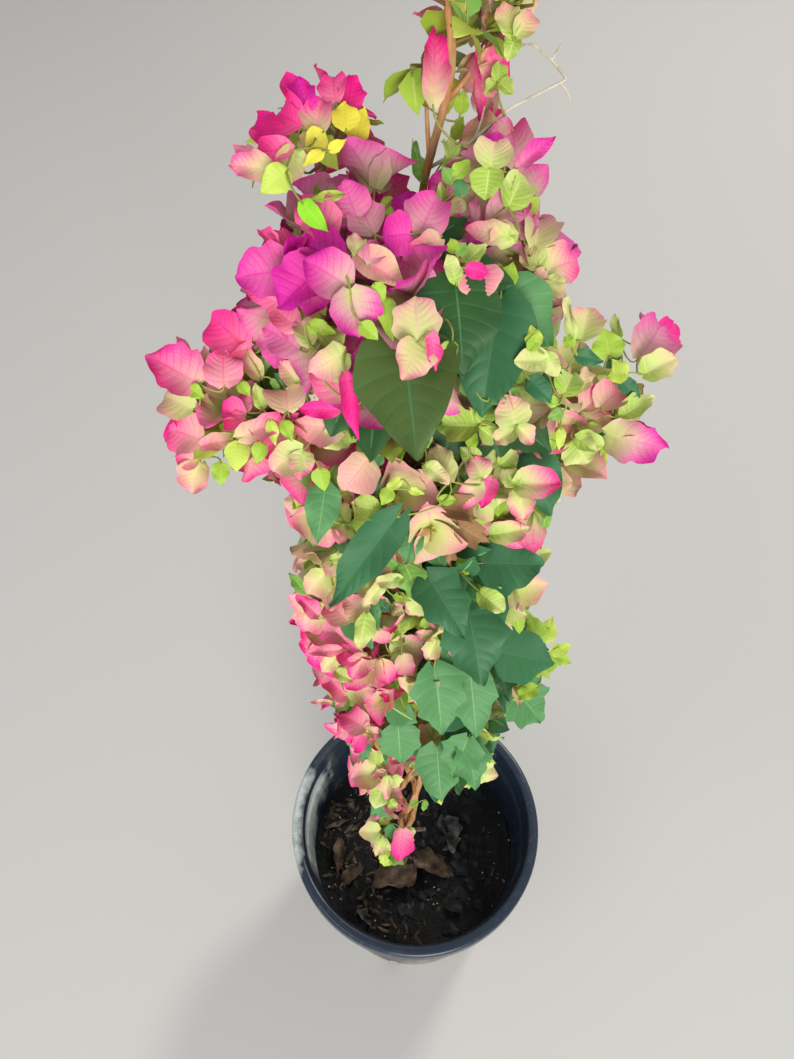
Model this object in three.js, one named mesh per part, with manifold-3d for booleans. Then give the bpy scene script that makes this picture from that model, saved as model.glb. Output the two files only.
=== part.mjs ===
// A bougainvillea in its nursery pot: a low woody foot that forks into three canes, which twist
// round each other up the middle, with boughs out to the sprays at the sides and masses of
// bracts and leaves all the way up. Millimetres, +Z up, origin at the middle of the pot's underside,
// -Y towards the viewer.
import * as THREE from "three";
import { mergeVertices } from "three/addons/utils/BufferGeometryUtils.js";
import Module from "manifold-3d";

const wasm = await Module();
wasm.setup();

// Gap between pieces that touch, and the wider one that leaves keep from other pieces
const SEAT = 0.3;
const LEAF_ROOM = 0.5;
const WELD = 1e-3;
const SHORTEST_EDGE = 0.01;
const CLOSE = 1e-9; // how near a search along a curve comes, as a share of the curve

const POT = {
  height: 300,
  rimRadius: 178, // outside of the rolled rim
  footRadius: 145,
  footEdge: 5, // bevel round the underside
  wall: 3,
  rimDrop: 27, // depth of the rolled rim
  rimWidth: 14.5,
  rimRound: 4,
  shoulder: 46, // depth of the band that stiffens the wall below the rim
  floor: 5,
  facets: 36,
};
const DRAIN = { count: 6, radius: 11, height: 11, length: 26, sides: 8, turn: 0.31 };
const SOIL = {
  level: 173,
  lump: 4,
  pad: 24, // radius of the level patch round the trunk
  padEdge: 46,
  edge: 1, // width of the rim of soil that stays level against the pot
  rings: [1, 0.72, 0.45, 0.2, 0],
  waves: { x: 21, shiftX: 1, y: 27, shiftY: -0.6 },
};

const TRUNK = {
  foot: [-16, 12],
  fork: [-14, 9, 232],
  footRadius: 15,
  radius: 8.6,
  flare: 3, // how soon the flare at the foot fades
  sides: 8,
  steps: 4,
};
// Sawn stubs of older stems at the fork
const STUBS = [
  { from: [-12, 6, 222], to: [16, 0, 252], radius: 3.2 },
  { from: [-18, 8, 226], to: [-27, -6, 256], radius: 2.6 },
];
const STUB = { taper: 0.6, sides: 5 };

// The line that the canes twist round, from the fork up to the crown
const COLUMN = [
  [-14, 9, 218],
  [-8, 4, 480],
  [-2, 0, 860],
  [-6, 4, 1200],
];
const TWIST = { pitch: 430, spread: 14, forkSpread: 4.6, opensOver: 150, step: 85, start: 0.4 };
const CANE = { footRadius: 4.2, tipRadius: 2.1, sides: 6, steps: 16 };
// Each cane leaves the twist at the height leaves, and goes on through its tip's points
const CANES = {
  lead: {
    leaves: 1165,
    tip: [
      [-14, 18, 1252],
      [-2, 25, 1314],
      [-6, 29, 1350],
      [-4, 32, 1396],
    ],
  },
  left: { leaves: 1125, tip: [[-35, -8, 1226]] },
  right: { leaves: 1125, tip: [[20, -2, 1222]] },
};
const BOUGH = { footRadius: 2.7, tipRadius: 1.7, sides: 4, steps: 4, sag: 0.14, stop: 0.62 };
// The dead twig leaves the lead cane at the height foot
const DEAD_TWIG = {
  foot: 1270,
  radius: 0.95,
  tipRadius: 0.66,
  sides: 4,
  steps: 12,
  tension: 0.1,
  route: [
    [6, 23, 1279],
    [27, 30, 1294],
    [52, 38, 1303],
    [45, 44, 1309],
    [36, 48, 1314],
    [27, 52, 1311],
  ],
};

// What each kind of mass wears: three bracts or leaves as the head of each twig, and on a green mass
// a single leaf half way along. Sizes are larger than life, because the leaves are fewer.
const WEAR = {
  bloom: { head: 38, headWidth: 35, leaf: 0, width: 0, colour: 0xe0679f },
  pale: { head: 38, headWidth: 34, leaf: 0, width: 0, colour: 0xd9cf9a },
  green: { head: 46, headWidth: 40, leaf: 48, width: 41, colour: 0x47784a },
};
const LEAF = { thick: 1.2, thickest: 0.25, widest: 0.42, cup: 0.12, droop: 0.16, sunk: 0.5, neck: 0.3 };
const TRIO = { leaves: 3, thick: 1.5, widest: 0.48, cup: 0.16, droop: 0.08, valley: 0.15 };
const STEM = { radius: 2.4, tipRadius: 2, sides: 4, steps: 2, sag: 0.1, twigsFrom: 0.45 };
const TWIG = {
  radius: 0.95,
  tipRadius: 0.75,
  sides: 3,
  most: 40, // twigs that a mass may try
  fan: 1.5, // how far round a mass its twigs spread: 1 is to its sides, 2 all the way back
  first: 0.1, // how far through the fan the first twig stands
  levelBelow: 1100, // masses below this height look straight out, and those above the next one up too
  upAbove: 1300,
  reach: 0.7, // share of the mass's reach that its twigs span, less if they don't fit
  shares: [1, 0.84, 0.7, 0.56, 0.42, 0.3],
};
const HEAD = {
  longest: 0.76, // as a share of the mass's reach
  depth: 0.4, // how far the end of a twig goes into its head
  size: [0.9, 1.12],
  open: [0.8, 1.3], // angle between the twig and the leaves of its head
  tries: 5,
  shrink: 0.05, // how much smaller the head is at each try
};
const SIDE_LEAF = { at: 0.5, size: [0.85, 1.1], open: [0.9, 1.4], swing: 0.3, tries: 6, shrink: 0.06 };
const GOLDEN_TURN = 2.399963;
// Steps that scatter points evenly over a square, however many there are
const EVEN_STEPS = [0.7548777, 0.5698403];

// Each mass: its middle, how far it reaches from there, what it wears and the number of its twigs.
// It grows from the tip of a cane, or from the nearest cane at the height foot: there by a bough,
// or straight from the cane where bough is false. The low shoot's bough comes from the trunk.
const MASSES = {
  high_left: { at: [-66, 30, 1278], reach: [38, 38, 37], wear: "bloom", twigs: 7, foot: 1175 },
  top: { at: [-4, 33, 1424], reach: [44, 42, 48], wear: "bloom", twigs: 7, tipOf: "lead" },
  side_top: { at: [30, 46, 1336], reach: [32, 32, 32], wear: "pale", twigs: 3, foot: 1300 },
  near_top: { at: [-14, 40, 1312], reach: [32, 30, 36], wear: "bloom", twigs: 3, foot: 1275 },
  crown_left: { at: [-62, -26, 1256], reach: [54, 52, 50], wear: "bloom", twigs: 9, tipOf: "left" },
  crown_front: { at: [-24, -66, 1242], reach: [52, 48, 50], wear: "bloom", twigs: 8, foot: 1140 },
  crown_right: { at: [24, -56, 1214], reach: [50, 46, 50], wear: "green", twigs: 5, foot: 1130 },
  upper_right: { at: [30, 2, 1260], reach: [50, 50, 48], wear: "pale", twigs: 9, tipOf: "right" },
  left_outer: { at: [-110, -54, 1192], reach: [42, 42, 43], wear: "bloom", twigs: 7, foot: 1058 },
  left_inner: { at: [-76, -66, 1180], reach: [48, 46, 46], wear: "bloom", twigs: 6, foot: 1100 },
  front_low: { at: [-18, -74, 1160], reach: [50, 46, 48], wear: "pale", twigs: 7, foot: 1085 },
  right_low: { at: [40, -50, 1136], reach: [52, 48, 50], wear: "pale", twigs: 7, foot: 1076 },
  right_inner: { at: [72, -4, 1156], reach: [48, 46, 48], wear: "green", twigs: 5, foot: 1085 },
  right_outer: { at: [100, -24, 1164], reach: [42, 42, 43], wear: "pale", twigs: 7, foot: 1040 },
  low_left: { at: [-60, -56, 1112], reach: [52, 50, 50], wear: "pale", twigs: 8, foot: 1050 },
  back_left: { at: [-52, 46, 1196], reach: [58, 54, 60], wear: "bloom", twigs: 9, foot: 1110 },
  back_right: { at: [50, 48, 1186], reach: [58, 54, 60], wear: "green", twigs: 7, foot: 1105 },
  mid_left: { at: [-56, -44, 1024], reach: [56, 52, 56], wear: "pale", twigs: 8, bough: false, foot: 975 },
  mid_front: { at: [-2, -58, 1064], reach: [50, 48, 50], wear: "pale", twigs: 6, bough: false, foot: 1018 },
  mid_right: { at: [46, -34, 1014], reach: [56, 52, 60], wear: "green", twigs: 7, bough: false, foot: 955 },
  mid_back: { at: [0, 48, 1060], reach: [62, 54, 70], wear: "pale", twigs: 9, bough: false, foot: 1000 },
  pink_left: { at: [-54, -38, 918], reach: [58, 52, 62], wear: "bloom", twigs: 9, bough: false, foot: 860 },
  mid_centre: { at: [8, -52, 930], reach: [52, 48, 58], wear: "pale", twigs: 7, bough: false, foot: 885 },
  side_right: { at: [74, -16, 852], reach: [58, 52, 64], wear: "green", twigs: 7, bough: false, foot: 820 },
  back_low: { at: [8, 46, 916], reach: [62, 54, 70], wear: "green", twigs: 8, bough: false, foot: 850 },
  low_pink: { at: [-50, -32, 794], reach: [54, 50, 60], wear: "bloom", twigs: 7, bough: false, foot: 735 },
  low_leaves: { at: [38, -38, 760], reach: [62, 52, 64], wear: "green", twigs: 7, bough: false, foot: 715 },
  back_lower: { at: [0, 42, 766], reach: [60, 52, 70], wear: "pale", twigs: 8, bough: false, foot: 700 },
  foot_left: { at: [-42, -26, 660], reach: [46, 44, 58], wear: "bloom", twigs: 6, bough: false, foot: 605 },
  foot_right: { at: [32, -18, 634], reach: [56, 50, 60], wear: "green", twigs: 6, bough: false, foot: 572 },
  foot_low: { at: [-36, -22, 516], reach: [40, 38, 54], wear: "pale", twigs: 5, bough: false, foot: 460 },
  low_shoot: { at: [-34, -36, 332], reach: [36, 36, 40], wear: "bloom", twigs: 5, onTrunk: true, foot: 218 },
};

const COLOURS = { pot: 0x20242a, soil: 0x2b211a, bark: 0x8a6b4a, dead: 0xb5ab98 };
const ROUGHNESS = { pot: 0.5, soil: 0.95, bark: 0.85, leaf: 0.7 };

// Vectors, draws and directions

const FULL_TURN = 2 * Math.PI;
const UP = new THREE.Vector3(0, 0, 1);
const vector = (point) => new THREE.Vector3(...point);

// A repeatable row of numbers between low and high.
function draws(seed) {
  const modulus = 2147483647;
  const factor = 48271;
  let state = (seed * factor) % modulus;
  return (low, high) => {
    state = (state * factor) % modulus;
    return low + (high - low) * (state / modulus);
  };
}

// Three square directions, the first one along a twig.
function frameAlong(along) {
  const side = UP.clone().cross(along).normalize();
  return { along, side, over: new THREE.Vector3().crossVectors(along, side) };
}

function spokeAt(frame, angle) {
  return frame.side.clone().multiplyScalar(Math.cos(angle)).addScaledVector(frame.over, Math.sin(angle));
}

// The direction that leans from along towards the spoke by an angle.
function leaning(along, spoke, angle) {
  return along.clone().multiplyScalar(Math.cos(angle)).addScaledVector(spoke, Math.sin(angle));
}

// Closed geometries and solids

function solidOf(geometry) {
  const bare = geometry.clone();
  bare.deleteAttribute("normal");
  bare.deleteAttribute("uv");
  const welded = mergeVertices(bare, WELD);
  return new wasm.Manifold(
    new wasm.Mesh({
      numProp: 3,
      vertProperties: welded.attributes.position.array,
      triVerts: new Uint32Array(welded.index.array),
    }),
  );
}

function geometryOf(solid) {
  const mesh = solid.getMesh();
  const geometry = new THREE.BufferGeometry();
  geometry.setAttribute("position", new THREE.BufferAttribute(new Float32Array(mesh.vertProperties), 3));
  geometry.setIndex(new THREE.BufferAttribute(new Uint32Array(mesh.triVerts), 1));
  geometry.computeVertexNormals();
  return geometry;
}

// The largest body of a solid: loose scraps go, and a sealed hollow is filled.
function largestBody(solid) {
  return solid.decompose().reduce((best, body) => (body.volume() > best.volume() ? body : best));
}

function join(solids) {
  return solids.reduce((whole, solid) => whole.add(solid));
}

function corners(solid) {
  const { vertProperties } = solid.getMesh();
  const found = [];
  for (let i = 0; i < vertProperties.length; i += 3) {
    found.push(new THREE.Vector3(...vertProperties.subarray(i, i + 3)));
  }
  return found;
}

function shortestEdge(solid) {
  const points = corners(solid);
  const { triVerts } = solid.getMesh();
  let shortest = Infinity;
  for (let i = 0; i < triVerts.length; i += 3) {
    const [a, b, c] = [points[triVerts[i]], points[triVerts[i + 1]], points[triVerts[i + 2]]];
    shortest = Math.min(shortest, a.distanceTo(b), b.distanceTo(c), c.distanceTo(a));
  }
  return shortest;
}

// The whole with one more piece, or without it if its join would leave an edge too short to keep.
function joinCleanly(whole, piece) {
  const grown = whole.add(piece);
  const shortest = Math.min(SHORTEST_EDGE, shortestEdge(whole));
  return shortestEdge(grown) < shortest ? whole : grown;
}

// A cylinder bent along a curve, with its radius given along the way from 0 to 1.
function bentCylinder(curve, radiusAt, sides, steps) {
  const cylinder = new THREE.CylinderGeometry(1, 1, 1, sides, steps);
  const frames = curve.computeFrenetFrames(steps);
  const place = cylinder.attributes.position;
  for (let i = 0; i < place.count; i++) {
    const step = Math.round((place.getY(i) + 0.5) * steps);
    const radius = radiusAt(step / steps);
    const point = curve
      .getPointAt(step / steps)
      .addScaledVector(frames.binormals[step], place.getX(i) * radius)
      .addScaledVector(frames.normals[step], place.getZ(i) * radius);
    place.setXYZ(i, point.x, point.y, point.z);
  }
  return solidOf(cylinder);
}

function limb(curve, footRadius, tipRadius, sides, steps) {
  return bentCylinder(curve, (way) => footRadius + (tipRadius - footRadius) * way, sides, steps);
}

// A leaf: a thin kite, folded along its middle and drooping at its tip, with its root sunk in the
// twig. It has room of extra width all round where extra is given.
function leaf(root, frame, turn, open, length, width, extra = 0) {
  const spoke = spokeAt(frame, turn);
  const grows = leaning(frame.along, spoke, open);
  const face = leaning(frame.along, spoke, open - Math.PI / 2);
  const across = new THREE.Vector3().crossVectors(face, grows);
  const blade = new THREE.OctahedronGeometry(1);
  const place = blade.attributes.position;
  for (let i = 0; i < place.count; i++) {
    const [side, above, end] = [place.getX(i), place.getY(i), place.getZ(i)].map(Math.round);
    const point = root.clone();
    if (end < 0) point.addScaledVector(grows, -LEAF.sunk);
    if (end > 0) point.addScaledVector(grows, length + extra).addScaledVector(face, -LEAF.droop * length);
    if (above !== 0) {
      point.addScaledVector(grows, LEAF.thickest * length);
      point.addScaledVector(face, above * (LEAF.thick / 2 + extra));
    }
    if (side !== 0) {
      point.addScaledVector(grows, LEAF.widest * length);
      point.addScaledVector(across, side * (width / 2 + extra));
      point.addScaledVector(face, -LEAF.cup * width);
    }
    place.setXYZ(i, point.x, point.y, point.z);
  }
  return solidOf(blade);
}

// Three bracts or leaves as one closed star: each has a valley, a side, its tip and its other side
// on the outline, all raised to one peak above and met by a flat middle below.
function trio(hub, frame, turn, open, length, width, extra = 0) {
  const points = [];
  const faces = [];
  const peak = 4 * TRIO.leaves;
  for (let n = 0; n < TRIO.leaves; n++) {
    const angleAt = (way) => turn + ((n + way) * FULL_TURN) / TRIO.leaves;
    const spoke = spokeAt(frame, angleAt(0.5));
    const grows = leaning(frame.along, spoke, open);
    const face = leaning(frame.along, spoke, open - Math.PI / 2);
    const across = new THREE.Vector3().crossVectors(frame.along, spoke);
    const middle = hub.clone().addScaledVector(grows, TRIO.widest * length);
    middle.addScaledVector(face, TRIO.cup * width);
    points.push(
      hub.clone().addScaledVector(spokeAt(frame, angleAt(0)), TRIO.valley * length + extra),
      middle.clone().addScaledVector(across, -width / 2 - extra),
      hub.clone().addScaledVector(grows, length + extra).addScaledVector(face, -TRIO.droop * length),
      middle.clone().addScaledVector(across, width / 2 + extra),
    );
    const [valley, side, tip, otherSide] = [0, 1, 2, 3].map((part) => 4 * n + part);
    const nextValley = (4 * n + 4) % peak;
    faces.push(peak, valley, side, peak, side, tip, peak, tip, otherSide, peak, otherSide, nextValley);
    faces.push(valley, tip, side, valley, nextValley, tip, nextValley, otherSide, tip);
  }
  const valleys = [0, 8, 4];
  faces.push(...valleys);
  points.push(hub.clone().addScaledVector(frame.along, TRIO.thick + extra));
  const star = new THREE.BufferGeometry().setFromPoints(points);
  star.setIndex(faces);
  return solidOf(star);
}

// The pot and its soil

const wallSlope = (POT.rimRadius - POT.rimWidth - POT.footRadius) / POT.height;
const outsideAt = (z) => POT.footRadius + wallSlope * z;
const insideAt = (z) => outsideAt(z) - POT.wall;

function turned(profile) {
  const shape = new THREE.LatheGeometry(
    profile.map(([radius, z]) => new THREE.Vector2(radius, z)),
    POT.facets,
  );
  return shape.rotateX(Math.PI / 2); // the lathe's own axis is Y
}

function potSolid() {
  const { height, rimRadius, rimDrop, rimRound, footRadius, footEdge, shoulder, floor } = POT;
  const rimInside = rimRadius - POT.rimWidth;
  const shell = turned([
    [0, 0],
    [footRadius - footEdge, 0],
    [footRadius, footEdge],
    [outsideAt(height - rimDrop), height - rimDrop],
    [rimRadius - rimRound / 2, height - rimDrop],
    [rimRadius, height - rimRound],
    [rimRadius - rimRound, height],
    [rimInside + rimRound / 2, height],
    [rimInside, height - rimRound],
    [insideAt(height - rimDrop), height - rimDrop],
    [insideAt(height - shoulder), height - shoulder],
    [insideAt(floor), floor],
    [0, floor],
  ]);
  const holes = Array.from({ length: DRAIN.count }, (_, i) => {
    const hole = new THREE.CylinderGeometry(DRAIN.radius, DRAIN.radius, DRAIN.length, DRAIN.sides);
    hole.rotateZ(Math.PI / 2);
    hole.translate(footRadius, 0, DRAIN.height);
    hole.rotateZ(DRAIN.turn + (i * FULL_TURN) / DRAIN.count);
    return solidOf(hole);
  });
  return holes.reduce((pot, hole) => pot.subtract(hole), solidOf(shell));
}

// Low waves over the soil, level round the trunk.
function soilHeight(x, y) {
  const fromTrunk = Math.hypot(x - TRUNK.foot[0], y - TRUNK.foot[1]);
  const rough = THREE.MathUtils.smoothstep(fromTrunk, SOIL.pad, SOIL.padEdge);
  const { waves, lump, level } = SOIL;
  return level + rough * lump * Math.sin(x / waves.x + waves.shiftX) * Math.cos(y / waves.y + waves.shiftY);
}

function soilSolid() {
  const bottom = POT.floor + SEAT;
  const edge = insideAt(SOIL.level) - SEAT;
  const soil = turned([
    [0, bottom],
    [insideAt(bottom) - SEAT, bottom],
    ...SOIL.rings.map((share) => [edge * share, SOIL.level]),
  ]);
  const place = soil.attributes.position;
  for (let i = 0; i < place.count; i++) {
    const [x, y, z] = [place.getX(i), place.getY(i), place.getZ(i)];
    const onTop = z > SOIL.level / 2;
    if (onTop && Math.hypot(x, y) < edge - SOIL.edge) place.setZ(i, soilHeight(x, y));
  }
  return solidOf(soil);
}

// Trunk, canes, boughs and stems, each a given width thicker than life

function trunkSolid(extra) {
  const ground = SOIL.level + SEAT;
  const lean = new THREE.LineCurve3(new THREE.Vector3(...TRUNK.foot, ground), vector(TRUNK.fork));
  const flare = (way) => (TRUNK.footRadius - TRUNK.radius) * (1 - way) ** TRUNK.flare;
  const stem = bentCylinder(lean, (way) => TRUNK.radius + extra + flare(way), TRUNK.sides, TRUNK.steps);
  const stubs = STUBS.map(({ from, to, radius }) => {
    const line = new THREE.LineCurve3(vector(from), vector(to));
    return limb(line, radius + extra, radius * STUB.taper + extra, STUB.sides, 1);
  });
  const below = new THREE.BoxGeometry(POT.rimRadius, POT.rimRadius, POT.height);
  below.translate(0, 0, ground - POT.height / 2);
  return join([stem, ...stubs]).subtract(solidOf(below));
}

const column = new THREE.CatmullRomCurve3(COLUMN.map(vector));

function columnAt(height) {
  const [low, high] = [COLUMN[0][2], COLUMN.at(-1)[2]];
  return column.getPoint(THREE.MathUtils.clamp((height - low) / (high - low), 0, 1));
}

function caneCurve({ leaves, tip }, order) {
  const points = [];
  const low = COLUMN[0][2];
  for (let height = low; height < leaves; height += TWIST.step) {
    const opened = Math.min((height - low) / TWIST.opensOver, 1);
    const spread = TWIST.forkSpread + (TWIST.spread - TWIST.forkSpread) * opened;
    const angle = TWIST.start + (order * FULL_TURN) / 3 + (FULL_TURN * (height - low)) / TWIST.pitch;
    const middle = columnAt(height);
    points.push(
      new THREE.Vector3(middle.x + spread * Math.cos(angle), middle.y + spread * Math.sin(angle), height),
    );
  }
  return new THREE.CatmullRomCurve3([...points, ...tip.map(vector)]);
}

function caneSolid(curve, extra) {
  return limb(curve, CANE.footRadius + extra, CANE.tipRadius + extra, CANE.sides, CANE.steps);
}

function deadTwigSolid(start, extra) {
  const { route, tension, radius, tipRadius, sides, steps } = DEAD_TWIG;
  const curve = new THREE.CatmullRomCurve3([start, ...route.map(vector)], false, "catmullrom", tension);
  return limb(curve, radius + extra, tipRadius + extra, sides, steps);
}

// The point of a curve at a height, for curves that only rise.
function pointAtHeight(curve, height) {
  let [low, high] = [0, 1];
  while (high - low > CLOSE) {
    const middle = (low + high) / 2;
    if (curve.getPointAt(middle).z < height) low = middle;
    else high = middle;
  }
  return curve.getPointAt(low);
}

// A curve between two points that sags by a share of its length.
function sagging(start, end, sag) {
  const elbow = start.clone().lerp(end, 0.5);
  elbow.z -= start.distanceTo(end) * sag;
  return new THREE.QuadraticBezierCurve3(start, elbow, end);
}

// A bough ends a little way inside the mass that it carries.
function boughCurve(mass, start) {
  const heart = vector(mass.at);
  const away = start.clone().sub(heart);
  const end = heart.clone().addScaledVector(away, (BOUGH.stop * mass.reach[0]) / away.length());
  return sagging(start, end, BOUGH.sag);
}

function boughSolid(curve, extra) {
  return limb(curve, BOUGH.footRadius + extra, BOUGH.tipRadius + extra, BOUGH.sides, BOUGH.steps);
}

function stemSolid(curve, extra) {
  return limb(curve, STEM.radius + extra, STEM.tipRadius + extra, STEM.sides, STEM.steps);
}

// Masses of foliage

// Every piece that stands already: its solid and box, and for a mass's own wood the mass.
const standing = [];

function boxOf(solid) {
  return new THREE.Box3().setFromPoints(corners(solid));
}

function stand(solid, woodOf) {
  standing.push({ solid, box: boxOf(solid), woodOf });
}

function insideReach(mass, point) {
  return point.clone().sub(vector(mass.at)).divide(vector(mass.reach)).length() < 1;
}

// Whether a solid keeps within its mass's reach and clear of the pieces that stand, apart from the
// mass's own wood where the solid is wood too.
function fits(mass, solid, isWood) {
  if (!corners(solid).every((point) => insideReach(mass, point))) return false;
  const box = boxOf(solid);
  return standing.every((other) => {
    if (isWood && other.woodOf === mass) return true;
    return !other.box.intersectsBox(box) || solid.intersect(other.solid).isEmpty();
  });
}

// The way of a mass's twig k: the twigs spread evenly over the side that looks away from the canes.
function twigWay(mass, k, order) {
  const out = vector(mass.at).sub(columnAt(mass.at[2])).setZ(0).normalize();
  out.z = THREE.MathUtils.smoothstep(mass.at[2], TWIG.levelBelow, TWIG.upAbove);
  const away = Math.acos(1 - TWIG.fan * ((TWIG.first + k * EVEN_STEPS[0]) % 1));
  return leaning(out.normalize(), spokeAt(frameAlong(out), order + FULL_TURN * k * EVEN_STEPS[1]), away);
}

// The twig of a mass that grows this way, with the trio that heads it. It is turned and cut shorter
// until all of it fits, and is left off if it never does.
function twigThatFits(mass, start, way, draw) {
  const wear = WEAR[mass.wear];
  const longest = Math.min(wear.head * draw(...HEAD.size), Math.min(...mass.reach) * HEAD.longest);
  for (const share of TWIG.shares) {
    const away = way.clone().multiply(vector(mass.reach)).multiplyScalar(TWIG.reach * share);
    const line = new THREE.LineCurve3(start, vector(mass.at).add(away));
    const roomy = limb(line, TWIG.radius + LEAF_ROOM, TWIG.tipRadius + LEAF_ROOM, TWIG.sides, 1);
    if (!fits(mass, roomy, true)) continue;
    const frame = frameAlong(line.v2.clone().sub(line.v1).normalize());
    const hub = line.v2.clone().addScaledVector(frame.along, -HEAD.depth);
    for (let tries = 0; tries < HEAD.tries; tries++) {
      const turn = draw(0, FULL_TURN);
      const open = draw(...HEAD.open);
      const length = longest * (1 - HEAD.shrink * tries);
      const width = (length * wear.headWidth) / wear.head;
      if (!fits(mass, trio(hub, frame, turn, open, length, width, LEAF_ROOM), false)) continue;
      const wood = limb(line, TWIG.radius, TWIG.tipRadius, TWIG.sides, 1);
      return { line, frame, turn, wood, head: trio(hub, frame, turn, open, length, width) };
    }
  }
  return null;
}

// Adds a piece to a plant, unless its join would not be clean.
function grow(plant, piece) {
  const grown = joinCleanly(plant.whole, piece);
  if (grown === plant.whole) return false;
  plant.whole = grown;
  return true;
}

// Grows the leaf half way along a twig. It is drawn again a few times until it fits, clear of what
// stands from its neck on, and is left off if it never does.
function growSideLeaf(plant, twig, draw) {
  const wear = WEAR[plant.mass.wear];
  const root = twig.line.getPoint(SIDE_LEAF.at);
  for (let tries = 0; tries < SIDE_LEAF.tries; tries++) {
    const turn = twig.turn + GOLDEN_TURN + draw(-1, 1) * SIDE_LEAF.swing * (1 + tries);
    const open = draw(...SIDE_LEAF.open);
    const length = wear.leaf * draw(...SIDE_LEAF.size) * (1 - SIDE_LEAF.shrink * tries);
    const width = (length * wear.width) / wear.leaf;
    const grows = leaning(twig.frame.along, spokeAt(twig.frame, turn), open);
    const neck = root.clone().addScaledVector(grows, LEAF.neck * length);
    const free = leaf(neck, twig.frame, turn, open, (1 - LEAF.neck) * length, width, LEAF_ROOM);
    if (!fits(plant.mass, free, false)) continue;
    const blade = leaf(root, twig.frame, turn, open, length, width);
    if (!grow(plant, blade)) continue;
    stand(blade);
    return;
  }
}

// Grows a plant by its twig k, unless that never fits.
function growTwig(plant, order, k) {
  const { mass, stem } = plant;
  const draw = draws(order * TWIG.most + k + 1);
  const start = stem.getPointAt(1 - (plant.twigs / mass.twigs) * (1 - STEM.twigsFrom));
  const twig = twigThatFits(mass, start, twigWay(mass, k, order), draw);
  if (!twig || !grow(plant, twig.wood.add(twig.head))) return;
  stand(twig.wood, mass);
  stand(twig.head);
  plant.twigs += 1;
  if (WEAR[mass.wear].leaf > 0) growSideLeaf(plant, twig, draw);
}

// The whole plant

const bougainvillea = new THREE.Group();
bougainvillea.name = "bougainvillea";

function place(name, solid, colour, roughness) {
  const material = new THREE.MeshStandardMaterial({ color: colour, roughness, metalness: 0 });
  const mesh = new THREE.Mesh(geometryOf(largestBody(solid)), material);
  mesh.name = name;
  bougainvillea.add(mesh);
}

const placeWood = (name, solid) => place(name, solid, COLOURS.bark, ROUGHNESS.bark);

place("pot", potSolid(), COLOURS.pot, ROUGHNESS.pot);
place("soil", soilSolid(), COLOURS.soil, ROUGHNESS.soil);
placeWood("trunk", trunkSolid(0));

// What meets the trunk and canes is cut by them a seat's width thicker, and leaves keep clear of them
// a leaf's room thicker
let framework = trunkSolid(SEAT);
stand(trunkSolid(LEAF_ROOM));
const caneCurves = {};
Object.entries(CANES).forEach(([name, cane], order) => {
  const curve = caneCurve(cane, order);
  caneCurves[name] = curve;
  placeWood("cane_" + name, caneSolid(curve, 0).subtract(trunkSolid(SEAT)));
  framework = framework.add(caneSolid(curve, SEAT));
  stand(caneSolid(curve, LEAF_ROOM));
});

const deadTwigStart = pointAtHeight(caneCurves.lead, DEAD_TWIG.foot);
place("dead_twig", deadTwigSolid(deadTwigStart, 0).subtract(framework), COLOURS.dead, ROUGHNESS.bark);
stand(deadTwigSolid(deadTwigStart, LEAF_ROOM));

// The point where a mass is fed from: a cane's tip, the trunk, or the nearest cane at its foot.
function sourceOf(mass) {
  if (mass.tipOf) return caneCurves[mass.tipOf].getPointAt(1);
  if (mass.onTrunk) return new THREE.Vector3(...TRUNK.foot, mass.foot);
  const heart = vector(mass.at);
  const choices = Object.values(caneCurves).map((curve) => pointAtHeight(curve, mass.foot));
  return choices.reduce((best, point) => (point.distanceTo(heart) < best.distanceTo(heart) ? point : best));
}

// Each mass's bough, if it has one, and the stem that all its twigs come from
const plants = Object.entries(MASSES).map(([name, mass]) => {
  let root = sourceOf(mass);
  let carrier = framework;
  if (mass.bough !== false && !mass.tipOf) {
    const curve = boughCurve(mass, root);
    placeWood("bough_" + name, boughSolid(curve, 0).subtract(framework));
    stand(boughSolid(curve, LEAF_ROOM));
    root = curve.getPointAt(1);
    carrier = framework.add(boughSolid(curve, SEAT));
  }
  const stem = sagging(root, vector(mass.at), STEM.sag);
  stand(stemSolid(stem, LEAF_ROOM), mass);
  return { name, mass, stem, whole: largestBody(stemSolid(stem, 0).subtract(carrier)), twigs: 0 };
});

// The masses grow side by side, a twig at a time
for (let k = 0; k < TWIG.most; k++) {
  plants.forEach((plant, order) => {
    if (plant.twigs < plant.mass.twigs) growTwig(plant, order, k);
  });
}

for (const { name, mass, whole } of plants) {
  place("foliage_" + name, whole, WEAR[mass.wear].colour, ROUGHNESS.leaf);
}

export default bougainvillea;
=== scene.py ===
import math

import bpy
import bmesh
import numpy as np
from mathutils import Matrix, Vector, noise


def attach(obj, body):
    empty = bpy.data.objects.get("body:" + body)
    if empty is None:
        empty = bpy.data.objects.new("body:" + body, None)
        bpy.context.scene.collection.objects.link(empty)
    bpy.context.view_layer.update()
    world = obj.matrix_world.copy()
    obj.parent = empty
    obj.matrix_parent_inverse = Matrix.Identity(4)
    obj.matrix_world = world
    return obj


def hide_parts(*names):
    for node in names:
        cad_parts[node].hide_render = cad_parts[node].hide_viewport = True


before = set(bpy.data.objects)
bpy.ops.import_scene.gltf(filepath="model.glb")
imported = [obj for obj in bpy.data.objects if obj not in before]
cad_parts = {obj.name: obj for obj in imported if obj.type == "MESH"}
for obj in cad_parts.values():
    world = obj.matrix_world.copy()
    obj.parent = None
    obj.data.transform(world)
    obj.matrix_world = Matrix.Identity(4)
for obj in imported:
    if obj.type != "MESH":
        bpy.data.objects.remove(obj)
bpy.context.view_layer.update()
mm = 0.001  # sizes below are in millimetres, meshes in metres
fullTurn = 2 * math.pi
up = np.array([0.0, 0.0, 1.0])
print("solids loaded")


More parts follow.
